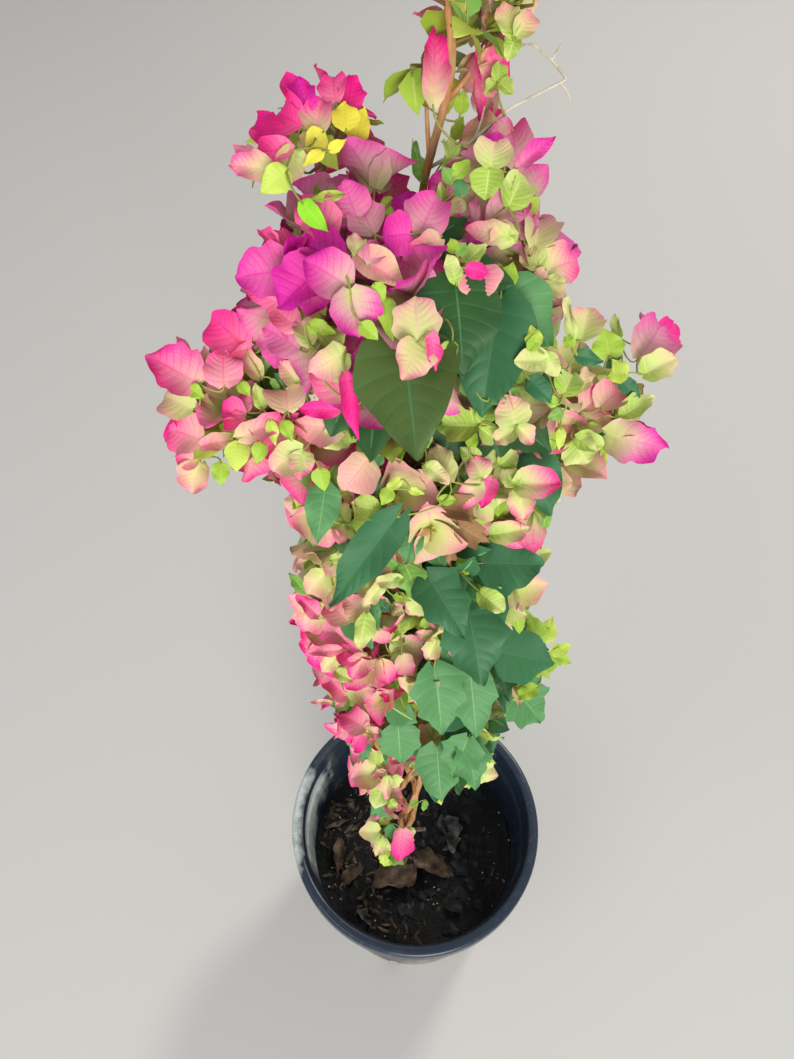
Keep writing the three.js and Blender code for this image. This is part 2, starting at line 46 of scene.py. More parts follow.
def linked(name, data):
    piece = bpy.data.objects.new(name, data)
    bpy.context.scene.collection.objects.link(piece)
    return piece


# The view: a hand-held camera close above the crown, looking steeply down
view = dict(place=(-26, -348, 1475), down=53.5, lens=27.06, width=794, height=1059, focal=796)

cameraData = bpy.data.cameras.new("viewer")
cameraData.lens = view["lens"]
cameraData.sensor_width = 36
cameraData.clip_start = 0.01
camera = linked("viewer", cameraData)
camera.location = Vector(view["place"]) * mm
camera.rotation_euler = (math.radians(90 - view["down"]), 0, 0)
bpy.context.scene.camera = camera

eye, steep = np.array(view["place"], float), math.radians(view["down"])
ahead = np.array([0.0, math.cos(steep), -math.sin(steep)])
upward = np.array([0.0, math.sin(steep), math.cos(steep)])


def sightLine(across, below):
    # the way from the camera through a pixel of the picture, one millimetre deep
    right, drop = across - view["width"] / 2, below - view["height"] / 2
    return ahead + (np.array([1.0, 0.0, 0.0]) * right - upward * drop) / view["focal"]


def inPicture(point):
    # the pixel that a point is seen at, and how deep it lies
    away = point - eye
    depth = away @ ahead
    across = view["width"] / 2 + view["focal"] * away[0] / depth
    return across, view["height"] / 2 - view["focal"] * (away @ upward) / depth, depth


def seenAtHeight(across, below, height):
    line = sightLine(across, below)
    return eye + line * (height - eye[2]) / line[2]


# Small helpers

def unit(direction):
    direction = np.asarray(direction, float)
    return direction / np.linalg.norm(direction)


def smooth(value, low, high):
    share = min(max((value - low) / (high - low), 0), 1)
    return share * share * (3 - 2 * share)


def drawsFrom(seed):
    # a repeatable row of numbers between low and high
    state = [seed * 48271 % 2147483647]

    def draw(low, high):
        state[0] = state[0] * 48271 % 2147483647
        return low + (high - low) * state[0] / 2147483647

    return draw


def leaning(along, spoke, angle):
    return along * math.cos(angle) + spoke * math.sin(angle)


def spokeAt(along, angle):
    side = np.cross(up, along)
    if np.linalg.norm(side) < 1e-6:
        side = np.array([1.0, 0.0, 0.0])
    side = unit(side)
    return side * math.cos(angle) + np.cross(along, side) * math.sin(angle)


def linear(colour):
    # picture colours 0 to 255 as the linear numbers that shaders take
    shares = [part / 255 for part in colour]
    return [part / 12.92 if part < 0.04045 else ((part + 0.055) / 1.055) ** 2.4 for part in shares] + [1]


def meshPiece(name, points, faces, materials, zones=None, isSmooth=True):
    mesh = bpy.data.meshes.new(name)
    mesh.from_pydata((np.asarray(points) * mm).tolist(), [], faces)
    for material in materials:
        mesh.materials.append(material)
    if zones is not None:
        mesh.polygons.foreach_set("material_index", np.asarray(zones, np.int32))
    mesh.polygons.foreach_set("use_smooth", [isSmooth] * len(mesh.polygons))
    mesh.update()
    return linked(name, mesh)


def fromShape(name, shape):
    mesh = bpy.data.meshes.new(name)
    shape.to_mesh(mesh)
    shape.free()
    return linked(name, mesh)


def applied(piece):
    # the piece with its modifiers turned into plain mesh
    evaluated = piece.evaluated_get(bpy.context.evaluated_depsgraph_get())
    mesh = bpy.data.meshes.new_from_object(evaluated)
    piece.modifiers.clear()
    old = piece.data
    piece.data = mesh
    bpy.data.meshes.remove(old)
    mesh.name = piece.name
    return piece


def finished(piece, slotName, *nodes):
    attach(piece, "root")
    if nodes:
        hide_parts(*nodes)
    return piece


# Materials

def newMaterial(name):
    material = bpy.data.materials.new(name)
    material.use_nodes = True
    return material, material.node_tree, material.node_tree.nodes["Principled BSDF"]


def feed(tree, node, inputs):
    # sets inputs by name or number, each from the socket that feeds it or to a value
    for name, value in inputs.items():
        if isinstance(value, bpy.types.NodeSocket):
            tree.links.new(value, node.inputs[name])
        else:
            node.inputs[name].default_value = value


def plainFinish(name, colour, roughness, gloss=0.3):
    material, tree, shader = newMaterial(name)
    feed(tree, shader, {"Base Color": linear(colour), "Roughness": roughness, "Specular IOR Level": gloss})
    return material


def addNode(tree, kind, inputs, **settings):
    node = tree.nodes.new(kind)
    for name, value in settings.items():
        setattr(node, name, value)
    feed(tree, node, inputs)
    return node


def noiseNode(tree, scale, detail=4.0, stretch=(1, 1, 1), rough=0.55):
    # a noise on the object's own coordinates, stretched along an axis where its scale is smaller
    place = tree.nodes.new("ShaderNodeTexCoord").outputs["Object"]
    mapped = addNode(tree, "ShaderNodeMapping", {"Vector": place, "Scale": stretch}).outputs["Vector"]
    inputs = {"Vector": mapped, "Scale": scale, "Detail": detail, "Roughness": rough}
    return addNode(tree, "ShaderNodeTexNoise", inputs).outputs["Fac"]


def rampNode(tree, source, stops):
    ramp = addNode(tree, "ShaderNodeValToRGB", {"Fac": source})
    elements = ramp.color_ramp.elements
    while len(elements) < len(stops):
        elements.new(0.5)
    for element, (place, colour) in zip(elements, stops):
        element.position = place
        element.color = linear(colour)
    return ramp.outputs["Color"]


def mixColours(tree, share, first, second):
    # inputs 6 and 7 and output 2 are the node's colours
    first, second = (linear(colour) if isinstance(colour, tuple) else colour for colour in (first, second))
    return addNode(tree, "ShaderNodeMix", {0: share, 6: first, 7: second}, data_type="RGBA").outputs[2]


def rangeNode(tree, source, fromLow, fromHigh, toLow, toHigh):
    inputs = {"Value": source, "From Min": fromLow, "From Max": fromHigh, "To Min": toLow, "To Max": toHigh}
    return addNode(tree, "ShaderNodeMapRange", inputs).outputs["Result"]


def bumpNode(tree, height, strength, distance):
    inputs = {"Height": height, "Strength": strength, "Distance": distance}
    return addNode(tree, "ShaderNodeBump", inputs).outputs["Normal"]


def barkFinish(name, stops, rough):
    material, tree, shader = newMaterial(name)
    streaks, patches = noiseNode(tree, 190, 5, (1, 1, 0.12)), noiseNode(tree, 30, 3)
    worn = rangeNode(tree, patches, 0.45, 0.7, 0, 0.55)
    feed(tree, shader, {
        "Base Color": mixColours(tree, worn, rampNode(tree, streaks, stops), stops[-1][1]),
        "Roughness": rangeNode(tree, streaks, 0, 1, rough - 0.1, rough + 0.1),
        "Normal": bumpNode(tree, streaks, 0.5, 0.0008),
    })
    return material


caneBark = barkFinish("cane_bark", [
    (0.3, (130, 82, 48)), (0.46, (182, 124, 74)), (0.6, (210, 156, 100)), (0.8, (222, 188, 138)),
], 0.75)
oldBark = barkFinish("foot_bark", [
    (0.3, (60, 50, 42)), (0.5, (108, 92, 78)), (0.65, (142, 126, 108)), (0.8, (168, 156, 138)),
], 0.88)
deadBark = barkFinish("dead_wood", [
    (0.3, (168, 158, 138)), (0.5, (208, 200, 180)), (0.7, (228, 222, 206)), (0.85, (240, 236, 224)),
], 0.85)


def twigFinish():
    material, tree, shader = newMaterial("green_twig")
    patches = rampNode(tree, noiseNode(tree, 18, 2), [
        (0.35, (122, 92, 56)), (0.5, (138, 122, 62)), (0.66, (146, 150, 78)),
    ])
    feed(tree, shader, {"Base Color": patches, "Roughness": 0.65})
    return material


greenTwig = twigFinish()

# Colours of the bracts: each spray takes its part of a ramp, from its cream bases to its tips
bractColours = dict(
    rose=[(0, (166, 196, 82)), (0.12, (202, 216, 134)), (0.26, (220, 206, 150)), (0.42, (230, 172, 162)),
          (0.58, (242, 132, 164)), (0.78, (246, 72, 152)), (1, (230, 24, 138))],
    violet=[(0, (182, 192, 106)), (0.2, (202, 194, 140)), (0.4, (214, 160, 164)), (0.6, (224, 106, 164)),
            (0.8, (220, 60, 160)), (1, (196, 22, 148))],
)
bractSteps = 36


def colourAt(stops, share):
    for (low, first), (high, second) in zip(stops, stops[1:]):
        if share <= high:
            way = (share - low) / (high - low)
            return [a + (b - a) * way for a, b in zip(first, second)]
    return stops[-1][1]


bractMaterials = []
rampStart = {}
for rampName, stops in bractColours.items():
    rampStart[rampName] = len(bractMaterials)
    for step in range(bractSteps):
        tone = colourAt(stops, step / (bractSteps - 1))
        bractMaterials.append(plainFinish(f"bract_{rampName}_{step}", tone, 0.55, 0.2))

leafColours = dict(
    dark=(46, 88, 44), olive=(78, 102, 48), deep=(58, 112, 72), mid=(88, 144, 88), fresh=(122, 172, 78),
    lime=(164, 200, 68), young=(196, 218, 92), backlit=(150, 222, 44), sunlit=(238, 226, 74),
    dry=(152, 116, 78),
    rib=(74, 122, 74), paleRib=(122, 174, 104), limeRib=(188, 212, 104), dryRib=(178, 144, 100),
)
ribOf = dict(dark="rib", olive="rib", deep="rib", mid="paleRib", fresh="limeRib", lime="limeRib",
             young="limeRib", backlit="limeRib", sunlit="limeRib", dry="dryRib")
for name, rib in ribOf.items():
    pairs = zip(leafColours[name], leafColours[rib])
    leafColours[name + "Vein"] = tuple(a + (b - a) * 0.35 for a, b in pairs)
leafMaterials = [
    plainFinish("leaf_" + name, colour, 0.8 if "dry" in name else 0.52)
    for name, colour in leafColours.items()
]
leafIndex = {name: i for i, name in enumerate(leafColours)}
darker = dict(deep="dark", mid="deep", fresh="mid", lime="fresh", young="lime")
print("materials made")


# Curves, as the solids have them

def smoothCurve(points, tension=None, perSpan=40):
    # a curve through the points, centripetal where no tension is given
    points = [np.asarray(point, float) for point in points]
    ends = [2 * points[0] - points[1], *points, 2 * points[-1] - points[-2]]
    found = []
    for before, first, second, after in zip(ends, ends[1:], ends[2:], ends[3:]):
        if tension is None:
            pairs = ((before, first), (first, second), (second, after))
            spans = [np.linalg.norm(b - a) ** 0.5 for a, b in pairs]
            leave = (first - before) / spans[0] - (second - before) / (spans[0] + spans[1])
            leave = (leave + (second - first) / spans[1]) * spans[1]
            reach = (second - first) / spans[1] - (after - first) / (spans[1] + spans[2])
            reach = (reach + (after - second) / spans[2]) * spans[1]
        else:
            leave, reach = tension * (second - before), tension * (after - first)
        for step in range(perSpan):
            way = step / perSpan
            found.append(
                first + leave * way + (3 * (second - first) - 2 * leave - reach) * way**2
                + (2 * (first - second) + leave + reach) * way**3
            )
    return np.array(found + [points[-1]])


def evenly(curve, step):
    # the same curve with a point every step millimetres or so
    reached = np.concatenate([[0], np.cumsum(np.linalg.norm(np.diff(curve, axis=0), axis=1))])
    count = max(int(round(reached[-1] / step)), 1)
    wanted = np.linspace(0, reached[-1], count + 1)
    return np.stack([np.interp(wanted, reached, curve[:, axis]) for axis in range(3)], 1)


def pointAtHeight(curve, height):
    return np.array([np.interp(height, curve[:, 2], curve[:, axis]) for axis in range(3)])


def sagging(start, end, sag, count=12):
    start, end = np.asarray(start, float), np.asarray(end, float)
    elbow = (start + end) / 2 - up * np.linalg.norm(end - start) * sag
    ways = np.linspace(0, 1, count + 1)[:, None]
    return start * (1 - ways) ** 2 + elbow * 2 * ways * (1 - ways) + end * ways**2


def ringFrames(curve):
    # two directions square to the curve at each point, carried along without a twist
    tangents = np.gradient(curve, axis=0)
    tangents /= np.linalg.norm(tangents, axis=1)[:, None]
    side = unit(np.cross(tangents[0], [0.3, 1.0, 0.2]))
    sides = []
    for tangent in tangents:
        side = unit(side - tangent * np.dot(side, tangent))
        sides.append(side)
    sides = np.array(sides)
    return sides, np.cross(tangents, sides)


def barkTube(curve, radii, sides, relief, seed, flareAt=None):
    # a closed limb with ridges along it and swollen joints where leaves once grew
    sideways, over = ringFrames(curve)
    count = len(curve)
    angles = np.arange(sides) * fullTurn / sides
    points = []
    for i in range(count):
        spokes = np.outer(np.cos(angles), sideways[i]) + np.outer(np.sin(angles), over[i])
        far = i * relief["step"]
        long, short = far / relief["long"] + seed * 7.3, far / relief["short"] + seed * 3.1
        ridge = np.array([
            noise.noise(Vector((2.1 * math.cos(a), 2.1 * math.sin(a), long)))
            + 0.5 * noise.noise(Vector((4.6 * math.cos(a), 4.6 * math.sin(a), short)))
            for a in angles
        ])
        along = (i * relief["step"] / relief["joint"] + seed * 0.37) % 1
        swell = 1 + relief["swell"] * math.exp(-((along - 0.5) / 0.07) ** 2)
        flare = flareAt(i / (count - 1), angles) if flareAt else 1
        reach = radii[i] * swell * flare * (1 + relief["deep"] * ridge)
        points.append(curve[i] + spokes * reach[:, None])
    points = np.concatenate(points).tolist()
    faces = []
    for i in range(count - 1):
        for j in range(sides):
            k = (j + 1) % sides
            faces.append((i * sides + j, i * sides + k, (i + 1) * sides + k, (i + 1) * sides + j))
    for ring, turn in ((0, -1), (count - 1, 1)):
        points.append(curve[ring].tolist())
        middle = len(points) - 1
        for j in range(sides):
            pair = (ring * sides + j, ring * sides + (j + 1) % sides)
            faces.append((middle, *pair[::turn]))
    return points, faces


def joined(parts):
    points, faces = [], []
    for somePoints, someFaces in parts:
        start = len(points)
        points += somePoints
        faces += [tuple(corner + start for corner in face) for face in someFaces]
    return points, faces


# The pot

pot = dict(height=300, rimRadius=178, footRadius=145, wall=3, rimWidth=14.5, rimDrop=27, floor=5,
           around=144, band=((232, 231, 0.9), (240, 240, 1.2)), steps=(34, 39, 44), stepDeep=0.8)
drain = dict(count=6, radius=11, height=11, length=26, turn=0.31)
wallSlope = (pot["rimRadius"] - pot["rimWidth"] - pot["footRadius"]) / pot["height"]


def outsideAt(height):
    return pot["footRadius"] + wallSlope * height


def insideAt(height):
    return outsideAt(height) - pot["wall"]


def rounded(middle, radius, start, end, count=5):
    # an arc of a profile, by its middle, radius and angles in degrees
    angles = np.radians(np.linspace(start, end, count))
    return [(middle[0] + radius * math.cos(a), middle[1] + radius * math.sin(a)) for a in angles]


def turnedPiece(name, profile, around, material):
    # a profile of radius and height turned round the upright axis; it starts and ends on it
    points, faces, rings = [], [], []
    for radius, height in profile:
        rings.append(len(points))
        if radius == 0:
            points.append((0, 0, height))
        else:
            angles = np.arange(around) * fullTurn / around
            points += [(radius * math.cos(a), radius * math.sin(a), height) for a in angles]
    for i in range(len(profile) - 1):
        for j in range(around):
            k = (j + 1) % around
            low = [rings[i]] if profile[i][0] == 0 else [rings[i] + j, rings[i] + k]
            high = [rings[i + 1]] if profile[i + 1][0] == 0 else [rings[i + 1] + k, rings[i + 1] + j]
            faces.append(tuple(low + high))
    return meshPiece(name, points, faces, [material])


def sumOf(tree, first, second, share=1.0):
    # first times share, plus second
    inputs = {0: first, 1: share, 2: second}
    return addNode(tree, "ShaderNodeMath", inputs, operation="MULTIPLY_ADD").outputs["Value"]


def potFinish():
    # slate plastic with a dusty foot, rubbed grains, and on the left a pale patch on the inner wall and rim
    # that is partly a film of dried water and partly a painted sky reflection
    material, tree, shader = newMaterial("pot_plastic")
    place = tree.nodes.new("ShaderNodeTexCoord").outputs["Object"]
    sides = addNode(tree, "ShaderNodeSeparateXYZ", {"Vector": place}).outputs
    clouds, grains = noiseNode(tree, 16, 6), noiseNode(tree, 420, 3)
    runs, scuffs = noiseNode(tree, 42, 5, (1, 1, 0.07)), noiseNode(tree, 95, 6, (1, 1, 0.35), 0.7)
    mud = sumOf(tree, clouds, rangeNode(tree, sides["Z"], 0.0, 0.2, 0.3, -0.2))
    streaked = sumOf(tree, runs, mud, 0.45)
    dust = rampNode(tree, streaked, [
        (0.56, (34, 46, 62)), (0.7, (50, 58, 68)), (0.86, (104, 102, 97)), (1.0, (150, 146, 136)),
    ])
    flat = addNode(tree, "ShaderNodeCombineXYZ", {"X": sides["X"], "Y": sides["Y"]}).outputs["Vector"]
    radius = addNode(tree, "ShaderNodeVectorMath", {0: flat}, operation="LENGTH").outputs["Value"]
    beyond = sumOf(tree, sides["Z"], radius, -wallSlope)
    inner = (pot["footRadius"] - pot["wall"]) * mm  # the pale patch, part water film and part painted sky reflection, is on the inside wall and a little on the rim
    filmAndSheen = sumOf(tree, clouds, rangeNode(tree, sides["X"], -0.17, -0.1, 0.75, -0.5))
    for source, *limits in ((sides["Z"], 0.13, 0.2, -0.6, 0), (sides["Z"], 0.286, 0.292, 0, 1.2),
                            (beyond, inner + 0.0008, inner + 0.002, 0, -1.5)):
        filmAndSheen = sumOf(tree, rangeNode(tree, source, *limits), filmAndSheen)
    filmAndSheen = sumOf(tree, runs, filmAndSheen, 0.6)
    # the left inner wall and rim are lightened towards a pale grey-white: part dried-water film, part
    # painted sky reflection
    sheenedFilm = mixColours(tree, rangeNode(tree, filmAndSheen, 0.98, 1.22, 0, 0.9), dust, (212, 222, 218))
    rubbed = mixColours(tree, rangeNode(tree, scuffs, 0.56, 0.74, 0, 0.55), sheenedFilm, (92, 108, 124))
    feed(tree, shader, {
        "Base Color": mixColours(tree, rangeNode(tree, grains, 0.4, 0.7, 0, 0.3), rubbed, (50, 62, 76)),
        "Roughness": rangeNode(tree, streaked, 0.6, 1, 0.3, 0.8),
        "Normal": bumpNode(tree, grains, 0.12, 0.0006),
    })
    return material


def makePot():
    height, rim = pot["height"], pot["rimRadius"]
    rimInside, underRim = rim - pot["rimWidth"], height - pot["rimDrop"]
    profile = [(0, 0), (110, 0), (pot["footRadius"] - 5, 0)]
    profile += rounded((pot["footRadius"] - 5 + wallSlope * 5, 5), 5, -80, -5)
    profile += [(outsideAt(z), z) for z in (60, 120, 180, 226)]
    profile += [(outsideAt(z) + out, at) for z, at, out in pot["band"]]
    profile += [(outsideAt(underRim), underRim)]
    profile += rounded((rim - 2.4, height - 25), 2.2, -90, 0, 4)
    profile += rounded((rim - 5, height - 5), 5, 0, 90, 6)
    profile += rounded((rimInside + 5, height - 5), 5, 90, 180, 6)
    profile += [(insideAt(underRim), underRim)]
    for z in (height - low for low in pot["steps"]):  # fine steps under the lip
        profile += [(insideAt(z) + pot["stepDeep"], z + 1.2), (insideAt(z), z)]
    profile += [(insideAt(z), z) for z in (240, 200, 150, 100, 50, 9)]
    profile += [(insideAt(5) - 4, 5), (60, 5), (0, 5)]
    shell = turnedPiece("pot_shell", profile, pot["around"], potFinish())
    drill = bmesh.new()
    for i in range(drain["count"]):
        turn = Matrix.Rotation(drain["turn"] + i * fullTurn / drain["count"], 4, "Z")
        shift = Matrix.Translation((pot["footRadius"] * mm, 0, drain["height"] * mm))
        lie = Matrix.Rotation(math.pi / 2, 4, "Y")
        radius = drain["radius"] * mm
        bmesh.ops.create_cone(drill, cap_ends=True, segments=24, radius1=radius, radius2=radius,
                              depth=drain["length"] * mm, matrix=turn @ shift @ lie)
    drillPiece = fromShape("drill", drill)
    cut = shell.modifiers.new("drain holes", "BOOLEAN")
    cut.operation, cut.object, cut.solver = "DIFFERENCE", drillPiece, "EXACT"
    applied(shell)
    bpy.data.meshes.remove(drillPiece.data)
    shell.data.polygons.foreach_set("use_smooth", [True] * len(shell.data.polygons))
    shell.data.set_sharp_from_angle(angle=math.radians(38))
    return finished(shell, "pot_plastic", "pot")


makePot()
print("pot made")


# The soil and what lies on it

soil = dict(level=173, lump=4, pad=24, padEdge=46, foot=(-16, 12), around=120, rings=46, seat=0.3)


def soilHeight(x, y):
    fromTrunk = math.hypot(x - soil["foot"][0], y - soil["foot"][1])
    rough = smooth(fromTrunk, soil["pad"], soil["padEdge"])
    waves = soil["lump"] * math.sin(x / 21 + 1) * math.cos(y / 27 - 0.6)
    place = Vector((x / 15, y / 15, 0.7))
    lumps = 2.6 * noise.fractal(place, 0.9, 2.1, 4)
    cracks = 1.6 * abs(noise.noise(Vector((x / 26, y / 26, 4.2))))
    return soil["level"] + rough * (waves + lumps - cracks * smooth(x, 0, 60) * 2)


def soilFinish():
    material, tree, shader = newMaterial("potting_soil")
    crumbs, damp = noiseNode(tree, 260, 8, rough=0.7), noiseNode(tree, 22, 3)
    dry = rampNode(tree, crumbs, [
        (0.32, (5, 6, 7)), (0.48, (14, 15, 16)), (0.6, (27, 27, 27)), (0.75, (54, 51, 48)),
    ])
    feed(tree, shader, {
        "Base Color": mixColours(tree, rangeNode(tree, damp, 0.35, 0.65, 0, 0.5), dry, (9, 11, 13)),
        "Roughness": rangeNode(tree, damp, 0.3, 0.7, 0.95, 0.7),
        "Normal": bumpNode(tree, crumbs, 0.9, 0.003),
    })
    return material


soilMaterial = soilFinish()


def makeSoil():
    edge = insideAt(soil["level"]) - soil["seat"]
    points, faces = [(0, 0, soilHeight(0, 0))], []
    around, rings = soil["around"], soil["rings"]
    for ring in range(1, rings + 1):
        radius = edge * (ring / rings) ** 0.8
        for j in range(around):
            x, y = radius * math.cos(j * fullTurn / around), radius * math.sin(j * fullTurn / around)
            points.append((x, y, soil["level"] + 1 if ring == rings else soilHeight(x, y)))
    bottom = pot["floor"] + soil["seat"]
    angles = np.arange(around) * fullTurn / around
    for radius, height in ((insideAt(60) - soil["seat"], 60), (insideAt(bottom) - 5, bottom)):
        points += [(radius * math.cos(a), radius * math.sin(a), height) for a in angles]
    points.append((0, 0, bottom))
    for ring in range(rings + 2):
        for j in range(around):
            k = (j + 1) % around
            outer = 1 + ring * around
            if ring == 0:
                faces.append((0, outer + j, outer + k))
            else:
                inner = outer - around
                faces.append((inner + j, outer + j, outer + k, inner + k))
    last = 1 + (rings + 1) * around
    faces += [(len(points) - 1, last + (j + 1) % around, last + j) for j in range(around)]
    return meshPiece("soil_bed", points, faces, [soilMaterial])


soilBed = makeSoil()


def newTree(name, **entries):
    # a tree of Geometry Nodes with these inputs, each by its kind of socket
    tree = bpy.data.node_groups.new(name, "GeometryNodeTree")
    for side in ("INPUT", "OUTPUT"):
        tree.interface.new_socket("Geometry", in_out=side, socket_type="NodeSocketGeometry")
    for entry, kind in entries.items():
        tree.interface.new_socket(entry, in_out="INPUT", socket_type="NodeSocket" + kind)
    return tree, tree.nodes.new("NodeGroupInput").outputs


def ledOut(tree, geometry, finish):
    # what the tree makes, realized and painted
    solid = addNode(tree, "GeometryNodeRealizeInstances", {"Geometry": geometry}).outputs["Geometry"]
    painted = addNode(tree, "GeometryNodeSetMaterial", {"Geometry": solid, "Material": finish})
    addNode(tree, "NodeGroupOutput", {"Geometry": painted.outputs["Geometry"]})
    return tree


def scatterTree():
    # strews copies of one shape over the top of the soil, turned and sized at random
    numbers = ("Density", "Smallest", "Largest", "Tilt", "LeftOnly", "Lowest", "Widest")
    floats = {name: "Float" for name in numbers}
    tree, given = newTree("strew", Shape="Object", Seed="Int", Finish="Material", **floats)
    seed, tilt = given["Seed"], given["Tilt"]
    place = tree.nodes.new("GeometryNodeInputPosition").outputs["Position"]
    sides = addNode(tree, "ShaderNodeSeparateXYZ", {"Vector": place}).outputs
    flat = addNode(tree, "ShaderNodeVectorMath", {0: place, 1: (1, 1, 0)}, operation="MULTIPLY")
    radius = addNode(tree, "ShaderNodeVectorMath", {0: flat.outputs["Vector"]}, operation="LENGTH")
    isAbove = addNode(tree, "FunctionNodeCompare", {0: sides["Z"], 1: given["Lowest"]},
                      data_type="FLOAT", operation="GREATER_THAN").outputs["Result"]
    isWithin = addNode(tree, "FunctionNodeCompare", {0: radius.outputs["Value"], 1: given["Widest"]},
                       data_type="FLOAT", operation="LESS_THAN").outputs["Result"]
    onTop = addNode(tree, "FunctionNodeBooleanMath", {0: isAbove, 1: isWithin}, operation="AND")
    # LeftOnly thins what lies to the right, or to the left where it is negative
    side = addNode(tree, "ShaderNodeMath", {0: sides["X"], 1: given["LeftOnly"]}, operation="MULTIPLY")
    thinned = rangeNode(tree, side.outputs["Value"], -0.05, 0.05, 1, 0.1)
    density = addNode(tree, "ShaderNodeMath", {0: given["Density"], 1: thinned}, operation="MULTIPLY")
    strewn = addNode(tree, "GeometryNodeDistributePointsOnFaces", {
        "Mesh": given["Geometry"], "Selection": onTop.outputs["Boolean"],
        "Density": density.outputs["Value"], "Seed": seed,
    })
    minus = addNode(tree, "ShaderNodeMath", {0: tilt, 1: -1}, operation="MULTIPLY").outputs["Value"]
    low = addNode(tree, "ShaderNodeCombineXYZ", {"X": minus, "Y": minus}).outputs["Vector"]
    high = addNode(tree, "ShaderNodeCombineXYZ", {"X": tilt, "Y": tilt, "Z": fullTurn}).outputs["Vector"]
    turns = {0: low, 1: high, "Seed": seed}
    sizes = {2: given["Smallest"], 3: given["Largest"], "Seed": seed}
    turn = addNode(tree, "FunctionNodeRandomValue", turns, data_type="FLOAT_VECTOR")
    size = addNode(tree, "FunctionNodeRandomValue", sizes, data_type="FLOAT")
    shape = addNode(tree, "GeometryNodeObjectInfo", {"Object": given["Shape"]})
    copies = addNode(tree, "GeometryNodeInstanceOnPoints", {
        "Points": strewn.outputs["Points"], "Instance": shape.outputs["Geometry"],
        "Rotation": turn.outputs[0], "Scale": size.outputs[1],
    })
    return ledOut(tree, copies.outputs["Instances"], given["Finish"])


def grown(name, base, tree, **inputs):
    # a copy of the base mesh turned into what the tree grows on it
    piece = linked(name, base.copy())
    modifier = piece.modifiers.new(name, "NODES")
    modifier.node_group = tree
    for entry in tree.interface.items_tree:
        if entry.in_out == "INPUT" and entry.name in inputs:
            modifier[entry.identifier] = inputs[entry.name]
    return applied(piece)


def lumpShape(name, size, rough, seed, detail=1):
    # an uneven pebble, stretched to size
    lump = bmesh.new()
    bmesh.ops.create_icosphere(lump, subdivisions=detail, radius=1)
    for corner in lump.verts:
        push = 1 + rough * noise.noise(corner.co * 1.7 + Vector((seed, 0, 0)))
        corner.co = Vector(part * push * stretch * mm for part, stretch in zip(corner.co, size))
    return fromShape(name, lump)


def crumbFinish(name, stops, scale):
    material, tree, shader = newMaterial(name)
    grain = noiseNode(tree, scale, 4)
    feed(tree, shader, {
        "Base Color": rampNode(tree, grain, stops), "Roughness": 0.9,
        "Normal": bumpNode(tree, grain, 0.4, 0.001),
    })
    return material


strewing = [
    dict(name="soil_crumbs", size=(1.5, 1.3, 1.0), rough=0.6, density=34000, smallest=0.5, largest=1.9,
         tilt=1.5, left=0, detail=1, scale=60,
         colours=[(0.35, (8, 9, 10)), (0.5, (20, 20, 20)), (0.66, (46, 44, 42))]),
    dict(name="bark_chips", size=(5.2, 2.1, 0.8), rough=0.5, density=5600, smallest=0.5, largest=1.9,
         tilt=0.5, left=1, detail=1, scale=45,
         colours=[(0.35, (36, 31, 27)), (0.5, (68, 58, 48)), (0.68, (120, 104, 84))]),
    dict(name="long_chips", size=(13, 3, 1.3), rough=0.5, density=1500, smallest=0.5, largest=1.3,
         tilt=0.45, left=1, detail=1, scale=45,
         colours=[(0.35, (44, 38, 32)), (0.5, (82, 72, 60)), (0.68, (132, 118, 98))]),
    dict(name="soil_plates", size=(19, 15, 4.2), rough=0.9, density=520, smallest=0.5, largest=1.2,
         tilt=0.16, left=-1, detail=2, scale=60,
         colours=[(0.35, (15, 18, 21)), (0.5, (28, 32, 37)), (0.66, (50, 54, 58))]),
    dict(name="soil_clods", size=(8.5, 7.2, 3.6), rough=0.8, density=1300, smallest=0.4, largest=1.7,
         tilt=0.4, left=-1, detail=2, scale=70,
         colours=[(0.35, (12, 14, 16)), (0.5, (24, 27, 30)), (0.66, (50, 53, 55))]),
    dict(name="perlite", size=(1.3, 1.2, 1.1), rough=0.4, density=2600, smallest=0.4, largest=1.3,
         tilt=1.5, left=0, detail=1, scale=90,
         colours=[(0.3, (176, 170, 158)), (0.6, (222, 218, 208)), (0.8, (240, 238, 232))]),
]


def strewSoil():
    # each kind keeps its own reach clear of the pot's wall
    tree = scatterTree()
    for seed, kind in enumerate(strewing, 3):
        shape = lumpShape("shape", kind["size"], kind["rough"], seed, kind["detail"])
        finish = crumbFinish(kind["name"], kind["colours"], kind["scale"])
        reach = kind["size"][0] * kind["largest"] * (1 + kind["rough"] / 4)
        widest = insideAt(soil["level"]) - max(reach - pot["wall"], 1)
        piece = grown(kind["name"], soilBed.data, tree, Shape=shape, Density=kind["density"], Seed=seed,
                      Smallest=kind["smallest"], Largest=kind["largest"], Tilt=kind["tilt"], Finish=finish,
                      LeftOnly=kind["left"], Lowest=(soil["level"] - 15) * mm, Widest=widest * mm)
        bpy.data.objects.remove(shape)
        finished(piece, "potting_soil")


finished(soilBed, "potting_soil", "soil")
strewSoil()
print("soil made")


# Foot, canes, boughs and the dead twig, in their bark

